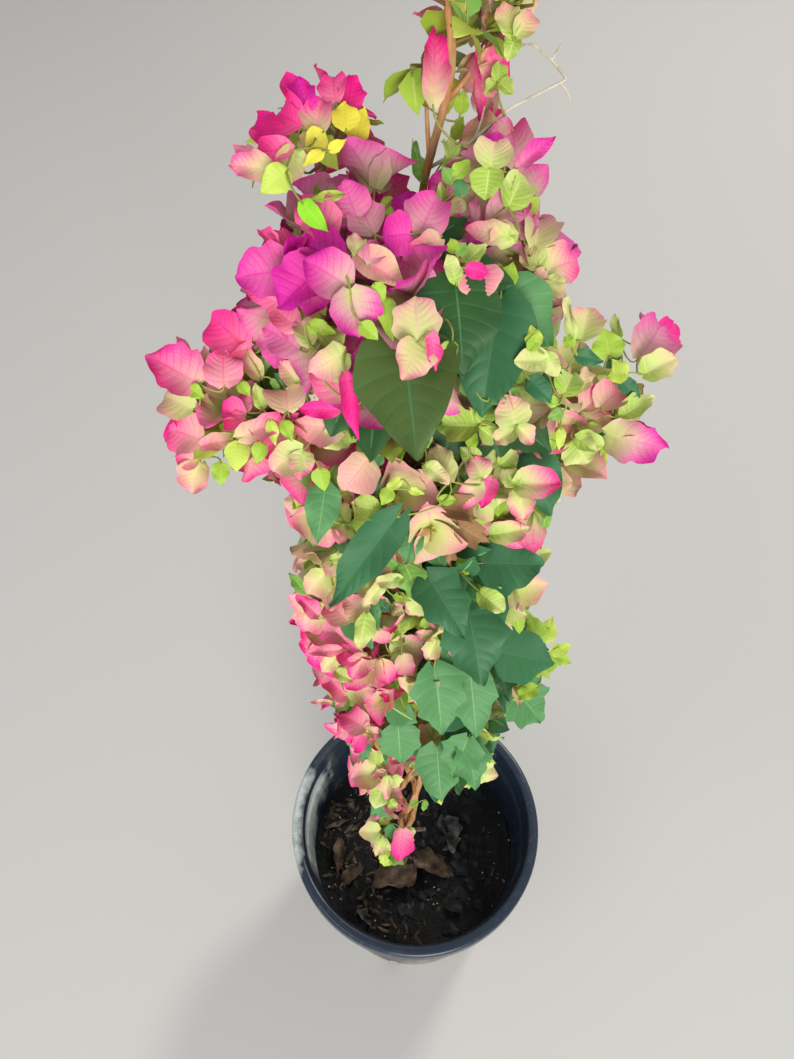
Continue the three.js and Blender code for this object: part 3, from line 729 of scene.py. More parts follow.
trunk = dict(foot=(-16, 12), ground=173.3, fork=(-14, 9, 232), footRadius=15, radius=8.6, flare=3)
stubs = [
    dict(start=(-12, 6, 222), end=(16, 0, 252), radius=3.2),
    dict(start=(-18, 8, 226), end=(-27, -6, 256), radius=2.6),
]
column = smoothCurve([(-14, 9, 218), (-8, 4, 480), (-2, 0, 860), (-6, 4, 1200)])
twist = dict(low=218, pitch=430, spread=14, forkSpread=4.6, opensOver=150, step=85, start=0.4)
cane = dict(footRadius=4.2, tipRadius=1.7)
canes = dict(
    lead=dict(leaves=1165, tip=[(-14, 18, 1252), (-2, 25, 1314), (-6, 29, 1350), (-4, 32, 1396)]),
    left=dict(leaves=1125, tip=[(-35, -8, 1226)]),
    right=dict(leaves=1125, tip=[(20, -2, 1222)]),
)
bough = dict(footRadius=2.7, tipRadius=1.7, sag=0.14, stop=0.62, thinFrom=1150, thinTo=1290, thinnest=0.5)
barkRelief = dict(step=2.0, long=34, short=9, joint=46, swell=0.14, deep=0.09)


def columnAt(height):
    low, high = column[0, 2], column[-1, 2]
    way = min(max((height - low) / (high - low), 0), 1) * (len(column) - 1)
    return np.array([np.interp(way, np.arange(len(column)), column[:, axis]) for axis in range(3)])


def caneCurve(values, order):
    points = []
    height = twist["low"]
    while height < values["leaves"]:
        opened = min((height - twist["low"]) / twist["opensOver"], 1)
        spread = twist["forkSpread"] + (twist["spread"] - twist["forkSpread"]) * opened
        angle = twist["start"] + order * fullTurn / 3 + fullTurn * (height - twist["low"]) / twist["pitch"]
        middle = columnAt(height)
        points.append((middle[0] + spread * math.cos(angle), middle[1] + spread * math.sin(angle), height))
        height += twist["step"]
    return smoothCurve([*points, *values["tip"]])


def limbMesh(curve, footRadius, tipRadius, sides, seed, step=2.0):
    curve = evenly(curve, step)
    radii = np.linspace(footRadius, tipRadius, len(curve))
    return barkTube(curve, radii, sides, dict(barkRelief, step=step), seed)


def makeTrunk():
    curve = evenly(np.array([(*trunk["foot"], trunk["ground"]), trunk["fork"]], float), 1.5)
    ways = np.linspace(0, 1, len(curve))
    radii = trunk["radius"] + (trunk["footRadius"] - trunk["radius"]) * (1 - ways) ** trunk["flare"]

    def flare(way, angles):  # roots show as low ribs in the flare
        return 1 + 0.13 * (1 - way) ** 2 * np.cos(3 * angles + 0.8) + 0.05 * np.cos(2 * angles + 3 * way)

    relief = dict(barkRelief, step=1.5, deep=0.12, joint=400)
    parts = [barkTube(curve, radii * 0.96, 40, relief, 1, flare)]
    for seed, stub in enumerate(stubs, 5):
        line = evenly(np.array([stub["start"], stub["end"]], float), 1.2)
        line[:, 2] += 1.2 * np.sin(np.linspace(0, math.pi, len(line)))
        radii = np.linspace(stub["radius"] * 1.25, stub["radius"] * 0.85, len(line))
        parts.append(barkTube(line, radii, 18, dict(relief, step=1.2, deep=0.16), seed))
    points, faces = joined(parts)
    return finished(meshPiece("foot", points, faces, [oldBark]), "cane_bark", "trunk")


makeTrunk()
caneCurves = {name: caneCurve(values, order) for order, (name, values) in enumerate(canes.items())}
for seed, (name, curve) in enumerate(caneCurves.items(), 11):
    points, faces = limbMesh(curve, cane["footRadius"], cane["tipRadius"], 16, seed)
    finished(meshPiece("bark_" + name, points, faces, [caneBark]), "cane_bark", "cane_" + name)

deadTwig = dict(foot=1270, radius=0.95, tipRadius=0.5, tension=0.1, route=[
    (6, 23, 1279), (27, 30, 1294), (52, 38, 1303), (45, 44, 1309), (36, 48, 1314), (27, 52, 1311),
])


def makeDeadTwig():
    start = pointAtHeight(caneCurves["lead"], deadTwig["foot"])
    curve = smoothCurve([start, *deadTwig["route"]], deadTwig["tension"])
    parts = [limbMesh(curve, deadTwig["radius"], deadTwig["tipRadius"], 8, 21, 1.0)]
    for way, offset, seed in ((0.22, (4, 6, 12), 22), (0.47, (7, 3, -10), 23), (0.66, (5, 9, 3), 24)):
        root = curve[int(way * (len(curve) - 1))]
        side = smoothCurve([root, root + np.array(offset) * 0.5 + 0.6, root + offset])
        parts.append(limbMesh(side, 0.6, 0.3, 6, seed, 1.0))
    points, faces = joined(parts)
    finished(meshPiece("bare_twig", points, faces, [deadBark]), "dead_wood", "dead_twig")
    return curve


deadTwigCurve = makeDeadTwig()


def mass(at, reach, twigs, foot, tone, leafy, green, ramp="rose", **more):
    # its middle, reach and the height of its foot are those of the solids; its bracts run from the first
    # tone at their bases to the second at their tips; leafy is the share of leaves
    return dict(at=np.array(at, float), reach=np.array(reach, float), twigs=twigs, foot=foot, tone=tone,
                leafy=leafy, green=green, ramp=ramp, **more)


masses = dict(
    high_left=mass((-66, 30, 1278), (38, 38, 37), 7, 1175, (0.2, 1.0), 0.2, "young"),
    top=mass((-4, 33, 1424), (44, 42, 48), 7, None, (0.3, 0.95), 0.3, "fresh", tipOf="lead"),
    side_top=mass((30, 46, 1336), (32, 32, 32), 3, 1300, (0.05, 0.5), 0.5, "lime"),
    near_top=mass((-14, 40, 1312), (32, 30, 36), 3, 1275, (0.15, 0.8), 0.5, "lime"),
    crown_left=mass((-62, -26, 1256), (54, 52, 50), 9, None, (0.25, 0.85), 0.12, "lime", "violet",
                    tipOf="left"),
    crown_front=mass((-24, -66, 1242), (52, 48, 50), 8, 1140, (0.15, 0.75), 0.2, "dark", "violet"),
    crown_right=mass((24, -56, 1214), (50, 46, 50), 6, 1130, (0.05, 0.5), 0.85, "dark"),
    upper_right=mass((30, 2, 1260), (50, 50, 48), 9, None, (0.05, 0.75), 0.3, "lime", "violet",
                     tipOf="right"),
    left_outer=mass((-110, -54, 1192), (42, 42, 43), 7, 1058, (0.12, 0.9), 0.25, "fresh"),
    left_inner=mass((-76, -66, 1180), (48, 46, 46), 7, 1100, (0.12, 0.85), 0.25, "fresh"),
    front_low=mass((-18, -74, 1160), (50, 46, 48), 8, 1085, (0.0, 0.42), 0.4, "lime"),
    right_low=mass((40, -50, 1136), (52, 48, 50), 8, 1076, (0.0, 0.6), 0.35, "lime"),
    right_inner=mass((72, -4, 1156), (48, 46, 48), 6, 1085, (0.0, 0.35), 0.8, "deep"),
    right_outer=mass((100, -24, 1164), (42, 42, 43), 7, 1040, (0.0, 0.8), 0.35, "lime"),
    low_left=mass((-60, -56, 1112), (52, 50, 50), 8, 1050, (0.0, 0.42), 0.45, "mid"),
    back_left=mass((-52, 46, 1196), (58, 54, 60), 10, 1110, (0.3, 0.9), 0.3, "mid", "violet"),
    back_right=mass((50, 48, 1186), (58, 54, 60), 8, 1105, (0.05, 0.6), 0.7, "deep", "violet"),
    mid_left=mass((-56, -44, 1024), (56, 52, 56), 9, 975, (0.0, 0.5), 0.4, "mid", bough=False),
    mid_front=mass((-2, -58, 1064), (50, 48, 50), 7, 1018, (0.0, 0.38), 0.5, "mid", bough=False),
    mid_right=mass((46, -34, 1014), (56, 52, 60), 8, 955, (0.0, 0.35), 0.8, "deep", bough=False),
    mid_back=mass((0, 48, 1060), (62, 54, 70), 10, 1000, (0.1, 0.7), 0.4, "mid", bough=False),
    pink_left=mass((-54, -38, 918), (58, 52, 62), 10, 860, (0.0, 0.88), 0.35, "fresh", bough=False),
    mid_centre=mass((8, -52, 930), (52, 48, 58), 8, 885, (0.0, 0.4), 0.5, "mid", bough=False),
    side_right=mass((74, -16, 852), (58, 52, 64), 9, 820, (0.0, 0.3), 0.8, "deep", bough=False),
    back_low=mass((8, 46, 916), (62, 54, 70), 9, 850, (0.05, 0.6), 0.7, "deep", bough=False),
    low_pink=mass((-50, -32, 794), (54, 50, 60), 8, 735, (0.0, 0.92), 0.35, "fresh", bough=False),
    low_leaves=mass((38, -38, 760), (62, 52, 64), 8, 715, (0.0, 0.3), 0.9, "deep", bough=False),
    back_lower=mass((0, 42, 766), (60, 52, 70), 9, 700, (0.1, 0.7), 0.45, "mid", bough=False),
    foot_left=mass((-42, -26, 660), (46, 44, 58), 7, 605, (0.0, 0.86), 0.3, "fresh", bough=False),
    foot_right=mass((32, -18, 634), (56, 50, 60), 7, 572, (0.0, 0.3), 0.9, "deep", bough=False),
    foot_low=mass((-36, -22, 516), (40, 38, 54), 5, 460, (0.15, 0.75), 0.35, "fresh", bough=False),
    low_shoot=mass((-34, -36, 332), (36, 36, 40), 3, 218, (0.05, 0.5), 0.5, "fresh", onTrunk=True),
)


def sourceOf(values):
    # where a mass is fed from: a cane's tip, the foot, or the nearest cane at its foot
    if "tipOf" in values:
        return caneCurves[values["tipOf"]][-1]
    if values.get("onTrunk"):
        return np.array([*trunk["foot"], values["foot"]], float)
    choices = [pointAtHeight(curve, values["foot"]) for curve in caneCurves.values()]
    return min(choices, key=lambda point: np.linalg.norm(point - values["at"]))


for seed, (name, values) in enumerate(masses.items(), 31):
    root = sourceOf(values)
    if values.get("bough", True) and "tipOf" not in values:
        away = root - values["at"]
        end = values["at"] + unit(away) * bough["stop"] * values["reach"][0]
        curve = sagging(root, end, bough["sag"], 24)
        thin = 1 - (1 - bough["thinnest"]) * smooth(values["foot"], bough["thinFrom"], bough["thinTo"])
        points, faces = limbMesh(curve, bough["footRadius"] * thin, bough["tipRadius"] * thin, 12, seed)
        finished(meshPiece("bark_bough_" + name, points, faces, [caneBark]), "cane_bark", "bough_" + name)
        root = end
    values["stem"] = sagging(root, values["at"], 0.1)
print("limbs made")


# Blades of bracts and leaves: a grid of a few faces in the blade's own outline, with a narrow rib

bractEdge = ((0, 0.22), (0.06, 0.62), (0.16, 0.88), (0.3, 1.0), (0.44, 0.99), (0.58, 0.9), (0.72, 0.72),
             (0.85, 0.46), (0.95, 0.2), (1, 0.06))
leafEdge = ((0, 0.14), (0.05, 0.6), (0.13, 0.88), (0.25, 1.0), (0.4, 0.97), (0.55, 0.8), (0.7, 0.57),
            (0.85, 0.29), (0.94, 0.12), (1, 0.03))


def bladeForm(edge, columns, rib, lobe, rows=9, veins=0, thick=0.01, swept=0.45):
    # Rows of faces sweep on towards the tip as the side veins do, and the narrow rows are veins. Columns
    # lie either side of a narrow rib. crest: how far a row stands up between its veins.
    ways, crest = np.linspace(0, 1, rows)**1.15 * 0.95, np.arange(rows) % 2
    if veins:
        middles, half = np.linspace(0.1, 0.74, veins), 0.32 / (veins - 1)
        marks = [(middle + off, off == half) for middle in middles for off in (-thick, thick, half)]
        ways, crest = np.array([(0, 0), (0.05, 1), *marks, (0.89, 0), (0.95, 0)]).T
    half = np.linspace(rib, 1, columns // 2)**0.85
    across = np.array([*-half[::-1], *half])
    sweep = np.abs(across)**1.2 * np.minimum(ways / 0.5, 1)[:, None]
    along = ways[:, None] + swept * sweep * (1 - ways[:, None])
    return dict(ways=ways, crest=crest[:, None], across=across, along=along, lobe=lobe,
                side=across * np.interp(along, *zip(*edge)))


# from the forms of nearby blades to those of small or distant ones
bractForms = [
    bladeForm(bractEdge, 14, 0.028, 0.08, veins=6), bladeForm(bractEdge, 8, 0.032, 0.08, veins=4),
    bladeForm(bractEdge, 8, 0.04, 0.08),
]
leafForms = [
    bladeForm(leafEdge, 14, 0.013, 0.13, veins=6, thick=0.007), bladeForm(leafEdge, 8, 0.035, 0.13),
    bladeForm(leafEdge, 6, 0.05, 0.13, rows=7),
]
nearLimits = dict(bract=(410, 600), leafSize=19)


def bladeFaces(form):
    rows, columns = len(form["ways"]), len(form["across"])
    faces = [
        (i * columns + j, i * columns + j + 1, (i + 1) * columns + j + 1, (i + 1) * columns + j)
        for i in range(rows - 1) for j in range(columns - 1)
    ]
    tip, last = rows * columns, (rows - 1) * columns
    return faces + [(last + j, last + j + 1, tip) for j in range(columns - 1)]


def bladePoints(form, length, width, bend):
    # bend: fold of the halves, cup across, arch along the blade, waves of the edge, twist, hooked tip
    across, ways = np.abs(form["across"])[None, :], form["along"]
    phase = np.where(form["across"] > 0, bend["phase"], bend["phase"] * 1.7 + 1)
    jag = 1 + bend["jag"] * np.sin(fullTurn * bend["waves"] * 1.9 * ways + phase * 1.3)
    side = form["side"] * jag * width / 2
    along = ways * length - form["lobe"] * length * across**1.5 * (1 - ways)**6
    lift = np.abs(side) * bend["fold"] + bend["cup"] * side**2 / width
    lift = lift + bend["wave"] * across**2 * np.sin(fullTurn * bend["waves"] * ways + phase)
    lift = lift + bend["quilt"] * form["crest"] * across * (1 - across**2) * 2
    grid = np.vstack([np.stack([side, along, lift], 2).reshape(-1, 3), [bend["hook"], length, 0]])
    way = np.clip(grid[:, 1] / length, 0, 1)
    turn, angle = bend["twist"] * way, bend["arch"] * way
    side = grid[:, 0] * np.cos(turn) - grid[:, 2] * np.sin(turn)
    lift = grid[:, 0] * np.sin(turn) + grid[:, 2] * np.cos(turn)
    radius = length / bend["arch"]
    along = (radius + lift) * np.sin(angle) + np.minimum(grid[:, 1], 0)
    return np.stack([side, along, radius * (np.cos(angle) - 1) + lift * np.cos(angle)], 1)


def bladeZones(form):
    # for each face: how far along and how far out it lies, and whether it is on the rib or on a side vein
    along = np.vstack([form["along"], np.ones_like(form["across"])])
    middle = (along[:-1, :-1] + along[1:, :-1] + along[:-1, 1:] + along[1:, 1:]) / 4
    edge = np.abs((form["across"][:-1] + form["across"][1:]) / 2) + 0 * middle
    isVein = (np.diff([*form["ways"], 1]) < 0.025)[:, None] & (edge < 0.93)
    return middle.ravel(), edge.ravel(), (edge < 0.05).ravel(), isVein.ravel()


for form in bractForms + leafForms:
    form.update(zones=bladeZones(form), faces=bladeFaces(form))
blades = dict(pink=[], cream=[], leaf=[], shownBract=[], shownLeaf=[])  # points, tints of faces, form


def placed(points, place, grows, face):
    across = unit(np.cross(grows, face))
    return place + points[:, :1] * across + points[:, 1:2] * grows + points[:, 2:] * np.cross(across, grows)


def addBract(pile, place, grows, face, length, width, ramp, tone, draw, isShown=False):
    bend = dict(fold=draw(0.1, 0.42), cup=draw(0.3, 1.3), arch=draw(0.05, 0.8),
                wave=draw(0.04, 0.085) * length, waves=draw(1.1, 2.1), phase=draw(0, fullTurn),
                twist=draw(-0.4, 0.4), hook=draw(-1.2, 1.2), quilt=0.5, jag=draw(0.02, 0.08))
    if isShown:
        bend.update(wave=bend["wave"] * 1.5, fold=bend["fold"] * 1.3, quilt=0.7)
    distance = 0 if isShown else np.linalg.norm(place - eye)
    form = bractForms[sum(distance > limit for limit in nearLimits["bract"])]
    points = placed(bladePoints(form, length, width, bend), place, grows, face)
    way, edge, isRib, isVein = form["zones"]
    margin = draw(0.2, 0.6) * (1 if isShown else 0.75)
    reach = (1 - margin) * way**1.1 + margin * edge**1.7 * (0.4 + 0.6 * way)
    share = tone[0] + (tone[1] - tone[0]) * np.clip(reach * 1.4 - 0.06, 0, 1)
    share = share + 0.035 * np.sin(way * 7 + bend["phase"]) * edge
    share = share + np.where(isRib & (way < 0.8), 0.12, np.where(isVein, 0.09, 0))
    steps = np.clip(np.round(share * (bractSteps - 1)), 0, bractSteps - 1).astype(int) + rampStart[ramp]
    blades[pile].append((points, steps, form))


def addLeaf(pile, place, grows, face, length, width, green, draw):
    form = leafForms[0 if pile == "shownLeaf" else 1 if length > nearLimits["leafSize"] else 2]
    bend = dict(fold=draw(0.05, 0.25), cup=draw(-0.3, 0.3), arch=draw(0.15, 0.7),
                wave=draw(0.02, 0.05) * length, waves=draw(1.2, 2.2), phase=draw(0, fullTurn),
                twist=draw(-0.2, 0.2), hook=draw(-1.5, 1.5), quilt=0.028 * length, jag=draw(0.03, 0.09))
    if pile == "shownLeaf":
        bend.update(wave=draw(0.035, 0.07) * length, jag=draw(0.06, 0.15) * (0.3 if place[2] > 1140 else 1))
    if green == "dry":
        bend.update(arch=draw(0.8, 1.9), cup=draw(0.8, 2.0), wave=0.1 * length)
    points = placed(bladePoints(form, length, width, bend), place, grows, face)
    way, edge, isRib, isVein = form["zones"]
    other = darker.get(green, green) if draw(0, 1) < 0.3 and pile == "leaf" else green
    tints = np.where(isVein, leafIndex[other + "Vein"], leafIndex[other])
    tints = np.where(isRib & (way < 0.86), leafIndex[ribOf[green]], tints)
    blades[pile].append((points, tints, form))


def makeBlades(name, pile, materials, slotName, nodes):
    faces, start = [], 0
    for points, _, form in pile:
        faces += [tuple(corner + start for corner in face) for face in form["faces"]]
        start += len(points)
    points = np.concatenate([entry[0] for entry in pile])
    zones = np.concatenate([entry[1] for entry in pile])
    return finished(meshPiece(name, points, faces, materials, zones), slotName, *nodes)


# Dry leaves on the soil: those in front by the pixels of their two ends, the rest by their places
litter = [
    dict(root=(410, 864), tip=(371, 889), wide=0.9, cup=0.9, tint="brown"),
    dict(root=(418, 858), tip=(456, 880), wide=0.5, cup=2.2, tint="brown"),
    dict(root=(444, 819), tip=(453, 856), wide=0.62, cup=1.8, tint="grey"),
    dict(root=(340, 842), tip=(338, 876), wide=0.34, cup=1.8, tint="brown"),
    dict(root=(344, 880), tip=(367, 866), wide=0.5, cup=1.2, tint="brown"),
    dict(root=(359, 911), tip=(373, 928), wide=0.26, cup=1.6, tint="grey"),
    dict(root=(330, 828), tip=(352, 820), wide=0.2, cup=1.4, tint="brown"),
    dict(root=(440, 846), tip=(462, 838), wide=0.6, cup=1.6, tint="grey"),
    dict(place=(-70, 82), turn=0.6, long=46, wide=0.7, cup=1.2, tint="brown"),
    dict(place=(10, 104), turn=2.4, long=38, wide=0.6, cup=1.6, tint="grey"),
    dict(place=(62, 84), turn=2.2, long=44, wide=0.5, cup=1.8, tint="brown"),
    dict(place=(-24, 66), turn=5.2, long=30, wide=0.7, cup=1.0, tint="brown"),
]
litterTints = dict(
    brown=[(0.35, (58, 46, 38)), (0.5, (98, 80, 64)), (0.66, (132, 110, 88))],
    grey=[(0.35, (48, 46, 44)), (0.5, (84, 82, 78)), (0.66, (124, 122, 114))],
)


def makeLitter():
    draw, parts = drawsFrom(77), dict(brown=[], grey=[])
    for piece in litter:
        if "place" in piece:
            start = np.array([*piece["place"], 0.0])
            end = start + np.array([math.cos(piece["turn"]), math.sin(piece["turn"]), 0]) * piece["long"]
        else:
            start, end = (seenAtHeight(*piece[part], soil["level"]) for part in ("root", "tip"))
        start[2], end[2] = soilHeight(*start[:2]) + 2.2, soilHeight(*end[:2]) + 2.2
        length = np.linalg.norm(end - start)
        bend = dict(fold=0.1, cup=piece["cup"], arch=-0.3, wave=0.07 * length, waves=1.7,
                    phase=draw(0, fullTurn), twist=draw(-0.5, 0.5), hook=draw(-2, 2), quilt=0.8, jag=0.14)
        points = bladePoints(leafForms[0], length, length * piece["wide"], bend)
        face = up + np.array([draw(-0.2, 0.2), 0, 0])
        parts[piece["tint"]].append(placed(points, start, unit(end - start), face))
    faces = leafForms[0]["faces"]
    for tint, leaves in parts.items():
        points, allFaces = joined([(some.tolist(), faces) for some in leaves])
        finish = crumbFinish("dry_leaf_" + tint, litterTints[tint], 55)
        finished(meshPiece("fallen_leaves_" + tint, points, allFaces, [finish]), "leaf_green")


makeLitter()


# Threads: twigs, stalks and flower tubes as lines with a thickness, which a tree turns into tubes

threads = dict(twig=[], stalk=[], tube=[])


def addThread(pile, points, thick, thin):
    points = np.asarray(points, float)
    threads[pile].append((points, np.linspace(thick, thin, len(points))))


def threadTree():
    tree, given = newTree("thread", Sides="Int", Finish="Material")
    lines = addNode(tree, "GeometryNodeMeshToCurve", {"Mesh": given["Geometry"]})
    rim = addNode(tree, "GeometryNodeCurvePrimitiveCircle", {"Resolution": given["Sides"], "Radius": 1})
    thick = addNode(tree, "GeometryNodeInputNamedAttribute", {"Name": "thick"}, data_type="FLOAT")
    tubes = addNode(tree, "GeometryNodeCurveToMesh", {
        "Curve": lines.outputs["Curve"], "Profile Curve": rim.outputs["Curve"],
        "Scale": thick.outputs["Attribute"], "Fill Caps": True,
    })
    even = addNode(tree, "GeometryNodeSetShadeSmooth", {"Geometry": tubes.outputs["Mesh"]})
    return ledOut(tree, even.outputs["Geometry"], given["Finish"])


threader = threadTree()
stars = []  # the small white flowers at the ends of some tubes: place, direction and size


def makeStars():
    points, faces = [], []
    for place, face, size in stars:
        side = unit(np.cross(face, [0.3, 0.9, 0.2]))
        over, start = np.cross(face, side), len(points)
        points.append(place)
        for i in range(10):
            turn, reach = i * fullTurn / 10, size * (1 if i % 2 == 0 else 0.5)
            spoke = side * math.cos(turn) + over * math.sin(turn)
            points.append(place + spoke * reach + face * 0.25 * reach)
        faces += [(start, start + 1 + i, start + 1 + (i + 1) % 10) for i in range(10)]
    finish = plainFinish("star_flower", (246, 242, 214), 0.6)
    return finished(meshPiece("star_flowers", points, faces, [finish], isSmooth=False), "bract_cream")


def makeThreads(name, pile, sides, material):
    points = np.concatenate([entry[0] for entry in pile]) * mm
    thick = np.concatenate([entry[1] for entry in pile]) * mm
    edges, start = [], 0
    for line, _ in pile:
        edges += [(start + i, start + i + 1) for i in range(len(line) - 1)]
        start += len(line)
    mesh = bpy.data.meshes.new(name)
    mesh.from_pydata(points.tolist(), edges, [])
    mesh.attributes.new("thick", "FLOAT", "POINT").data.foreach_set("value", thick.astype(np.float32))
    piece = grown(name, mesh, threader, Sides=sides, Finish=material)
    bpy.data.meshes.remove(mesh)
    return finished(piece, "cane_bark")


# the plant's left and right edge in the picture, as (row of pixels, place across)
outline = dict(
    left=((0, 430), (62, 424), (69, 318), (90, 283), (130, 240), (180, 236), (192, 268), (202, 294),
          (214, 294),
          (228, 258), (250, 246), (275, 240), (300, 245), (330, 210), (350, 180), (380, 156), (400, 156),
          (450, 170), (462, 180), (476, 268), (490, 285), (520, 295), (560, 290), (600, 295), (650, 305),
          (700, 318), (740, 342), (780, 354), (800, 370), (830, 363), (860, 380)),
    right=((0, 530), (20, 535), (60, 520), (90, 505), (130, 536), (180, 530), (200, 546), (240, 550),
           (252, 578),
           (268, 580), (280, 568), (297, 560), (308, 552), (330, 560), (350, 590), (380, 640), (400, 645),
           (450, 640), (470, 590), (490, 562), (520, 560), (560, 545), (600, 530), (650, 570), (700, 548),
           (740, 500), (780, 490), (800, 455), (830, 420), (860, 405)),
)
clearings = ((398, 768, 424, 834), (300, 160, 362, 190))  # see-through: left, top, right and bottom


def inOutline(point, size):
    # whether the point shows between the plant's edges and off its clearings
    across, below, depth = inPicture(point)
    half = size * view["focal"] / depth * 0.7
    for left, top, right, bottom in clearings:
        isBeside = abs(across * 2 - left - right) < right - left + half
        if isBeside and abs(below * 2 - top - bottom) < bottom - top + half:
            return False
    if not -2 * half < below < outline["left"][-1][0]:
        return True
    for off, share in ((0, 1), (-1.2, 0.3), (1.2, 0.3)):
        left, right = (np.interp(below + off * half, *zip(*outline[edge])) for edge in ("left", "right"))
        if not left + half * share <= across <= right - half * share:
            return False
    return True


# The twigs of each mass, by the rule of the solids

grow = dict(reach=0.74, fan=1.5, first=0.1, levelBelow=1100, upAbove=1300, twigsFrom=0.45,
            bract=(21, 28), bractWide=(0.84, 0.98), open=(0.6, 1.1), apart=14.5, leafApart=15,
            dressAt=(1.0, 0.9, 0.78, 0.66, 0.54, 0.42), bigLeaf=(42, 56), midLeaf=(22, 36),
            smallLeaf=(9, 19), shootLeaf=(8, 15), shoot=(7, 20), trioLift=8, trioSize=11,
            tubeShare=0.6, starShare=0.02)
evenSteps = (0.7548777, 0.5698403)


def twigWay(values, k, order):
    out = values["at"] - columnAt(values["at"][2])
    out[2] = 0
    out = unit(out)
    out[2] = smooth(values["at"][2], grow["levelBelow"], grow["upAbove"])
    out = unit(out)
    away = math.acos(1 - grow["fan"] * ((grow["first"] + k * evenSteps[0]) % 1))
    return leaning(out, spokeAt(out, order + fullTurn * k * evenSteps[1]), away)


anchors = []  # points of the wood that stalks can leave from
for order, (name, values) in enumerate(masses.items()):
    addThread("twig", values["stem"], 1.7, 1.2)
    anchors += list(values["stem"])
    values["lines"] = []
    for k in range(values["twigs"]):
        draw = drawsFrom(order * 200 + k * 7 + 5)
        stem = values["stem"]
        place = (1 - (k / values["twigs"]) * (1 - grow["twigsFrom"])) * (len(stem) - 1)
        end = values["at"] + twigWay(values, k, order) * values["reach"] * grow["reach"] * draw(0.82, 1.04)
        line = sagging(stem[int(round(place))], end, draw(-0.08, 0.1), 8)
        past = [i for i, point in enumerate(line) if i > 3 and not inOutline(point, 9)]
        line = line[:past[0] if past else len(line)]
        addThread("twig", line, 1.05, 0.65)
        anchors += list(line[2:])
        values["lines"].append((line, draw))
anchors = np.array(anchors)


# What shows plainly in the picture: single bracts and leaves, each by the pixels of its root and tip

def bract(root, tip, wide=0.9, tone=(0.1, 0.6), ramp="rose", deep=0):
    return dict(root=root, tip=tip, wide=wide, tone=tone, ramp=ramp, deep=deep)


def leaf(root, tip, wide=0.85, green="deep", deep=6):
    return dict(root=root, tip=tip, wide=wide, green=green, deep=deep)


upperLeft = [
    bract((300, 106), (287, 76), 0.7, (0.85, 0.95)),
    bract((307, 112), (299, 82), 0.8, (0.8, 1.0), "violet", -3),
    bract((336, 102), (330, 69), 0.85, (0.55, 0.9)),
    bract((302, 126), (270, 108), 1.0, (0.7, 0.95), deep=-4),
    bract((284, 146), (256, 117), 0.75, (0.75, 1.0)),
    bract((316, 135), (322, 97), 0.8, (0.2, 0.8), deep=-6),
    bract((346, 110), (353, 79), 0.8, (0.8, 1.0), deep=4),
    bract((292, 150), (252, 150), 0.6, (0.6, 0.9), deep=-6),
    bract((273, 172), (229, 163), 0.6, (0.15, 0.75), deep=-4),
    bract((262, 160), (231, 146), 0.4, (0.4, 0.6)),
    bract((296, 149), (284, 181), 0.85, (0.05, 0.45), deep=-4),
    bract((300, 140), (322, 152), 0.8, (0.2, 0.7), deep=-2),
    leaf((346, 128), (345, 101), 1.0, "sunlit", -8),
    leaf((356, 140), (362, 110), 0.7, "sunlit", -4),
    leaf((322, 133), (307, 149), 1.0, "sunlit", -10),
    leaf((286, 172), (262, 191), 0.9, "young", -8),
    leaf((322, 152), (302, 163), 0.5, "sunlit", -4),
    leaf((330, 150), (345, 140), 0.6, "sunlit", -4),
    leaf((303, 204), (326, 231), 0.55, "backlit", -10),
    leaf((340, 195), (305, 199), 0.3, "young", -8),
]
crownTop = [
    bract((292, 270), (238, 275), 0.92, (0.5, 0.85), "violet"),
    bract((322, 268), (280, 304), 0.9, (0.7, 1.0), "violet", -6),
    bract((342, 264), (298, 238), 0.75, (0.8, 1.0), "violet", -4),
    bract((350, 289), (360, 333), 1.05, (0.2, 1.0), "violet", -12),
    bract((348, 286), (310, 262), 0.95, (0.3, 0.9), "violet", -10),
    bract((374, 234), (360, 206), 1.2, (0.35, 0.6), "violet"),
    bract((332, 236), (304, 200), 0.85, (0.55, 0.7)),
    bract((356, 216), (345, 185), 1.1, (0.5, 0.75), "violet"),
    bract((358, 257), (402, 281), 0.6, (0.5, 0.25), deep=-8),
    bract((359, 258), (352, 232), 0.7, (0.1, 0.45), deep=-6),
    bract((370, 264), (379, 239), 0.8, (0.35, 0.65), "violet", -6),
    bract((276, 248), (259, 228), 0.6, (0.6, 0.75)),
    bract((290, 264), (298, 224), 0.85, (0.6, 0.75)),
    bract((286, 306), (246, 291), 0.4, (0.55, 0.75)),
    bract((420, 234), (437, 194), 1.0, (0.4, 0.75), "violet", -4),
    bract((410, 234), (384, 236), 1.5, (0.7, 0.9), "violet", -6),
    bract((440, 238), (406, 258), 0.7, (0.35, 0.65), deep=-8),
    bract((408, 214), (399, 194), 1.1, (0.85, 1.0), "violet", 4),
    bract((300, 350), (264, 326), 0.8, (0.45, 0.65), "violet"),
    bract((297, 328), (269, 305), 0.75, (0.5, 0.7)),
    bract((310, 345), (300, 318), 0.8, (0.1, 0.45)),
    bract((330, 350), (335, 322), 0.9, (0.0, 0.25)),
    bract((345, 352), (312, 372), 0.8, (0.1, 0.5)),
    leaf((362, 325), (378, 338), 0.8, "lime", -8),
    leaf((385, 300), (392, 338), 0.5, "lime", -4),
    leaf((375, 285), (384, 300), 0.9, "lime", -8),
    leaf((310, 325), (335, 332), 0.6, "lime", -6),
]
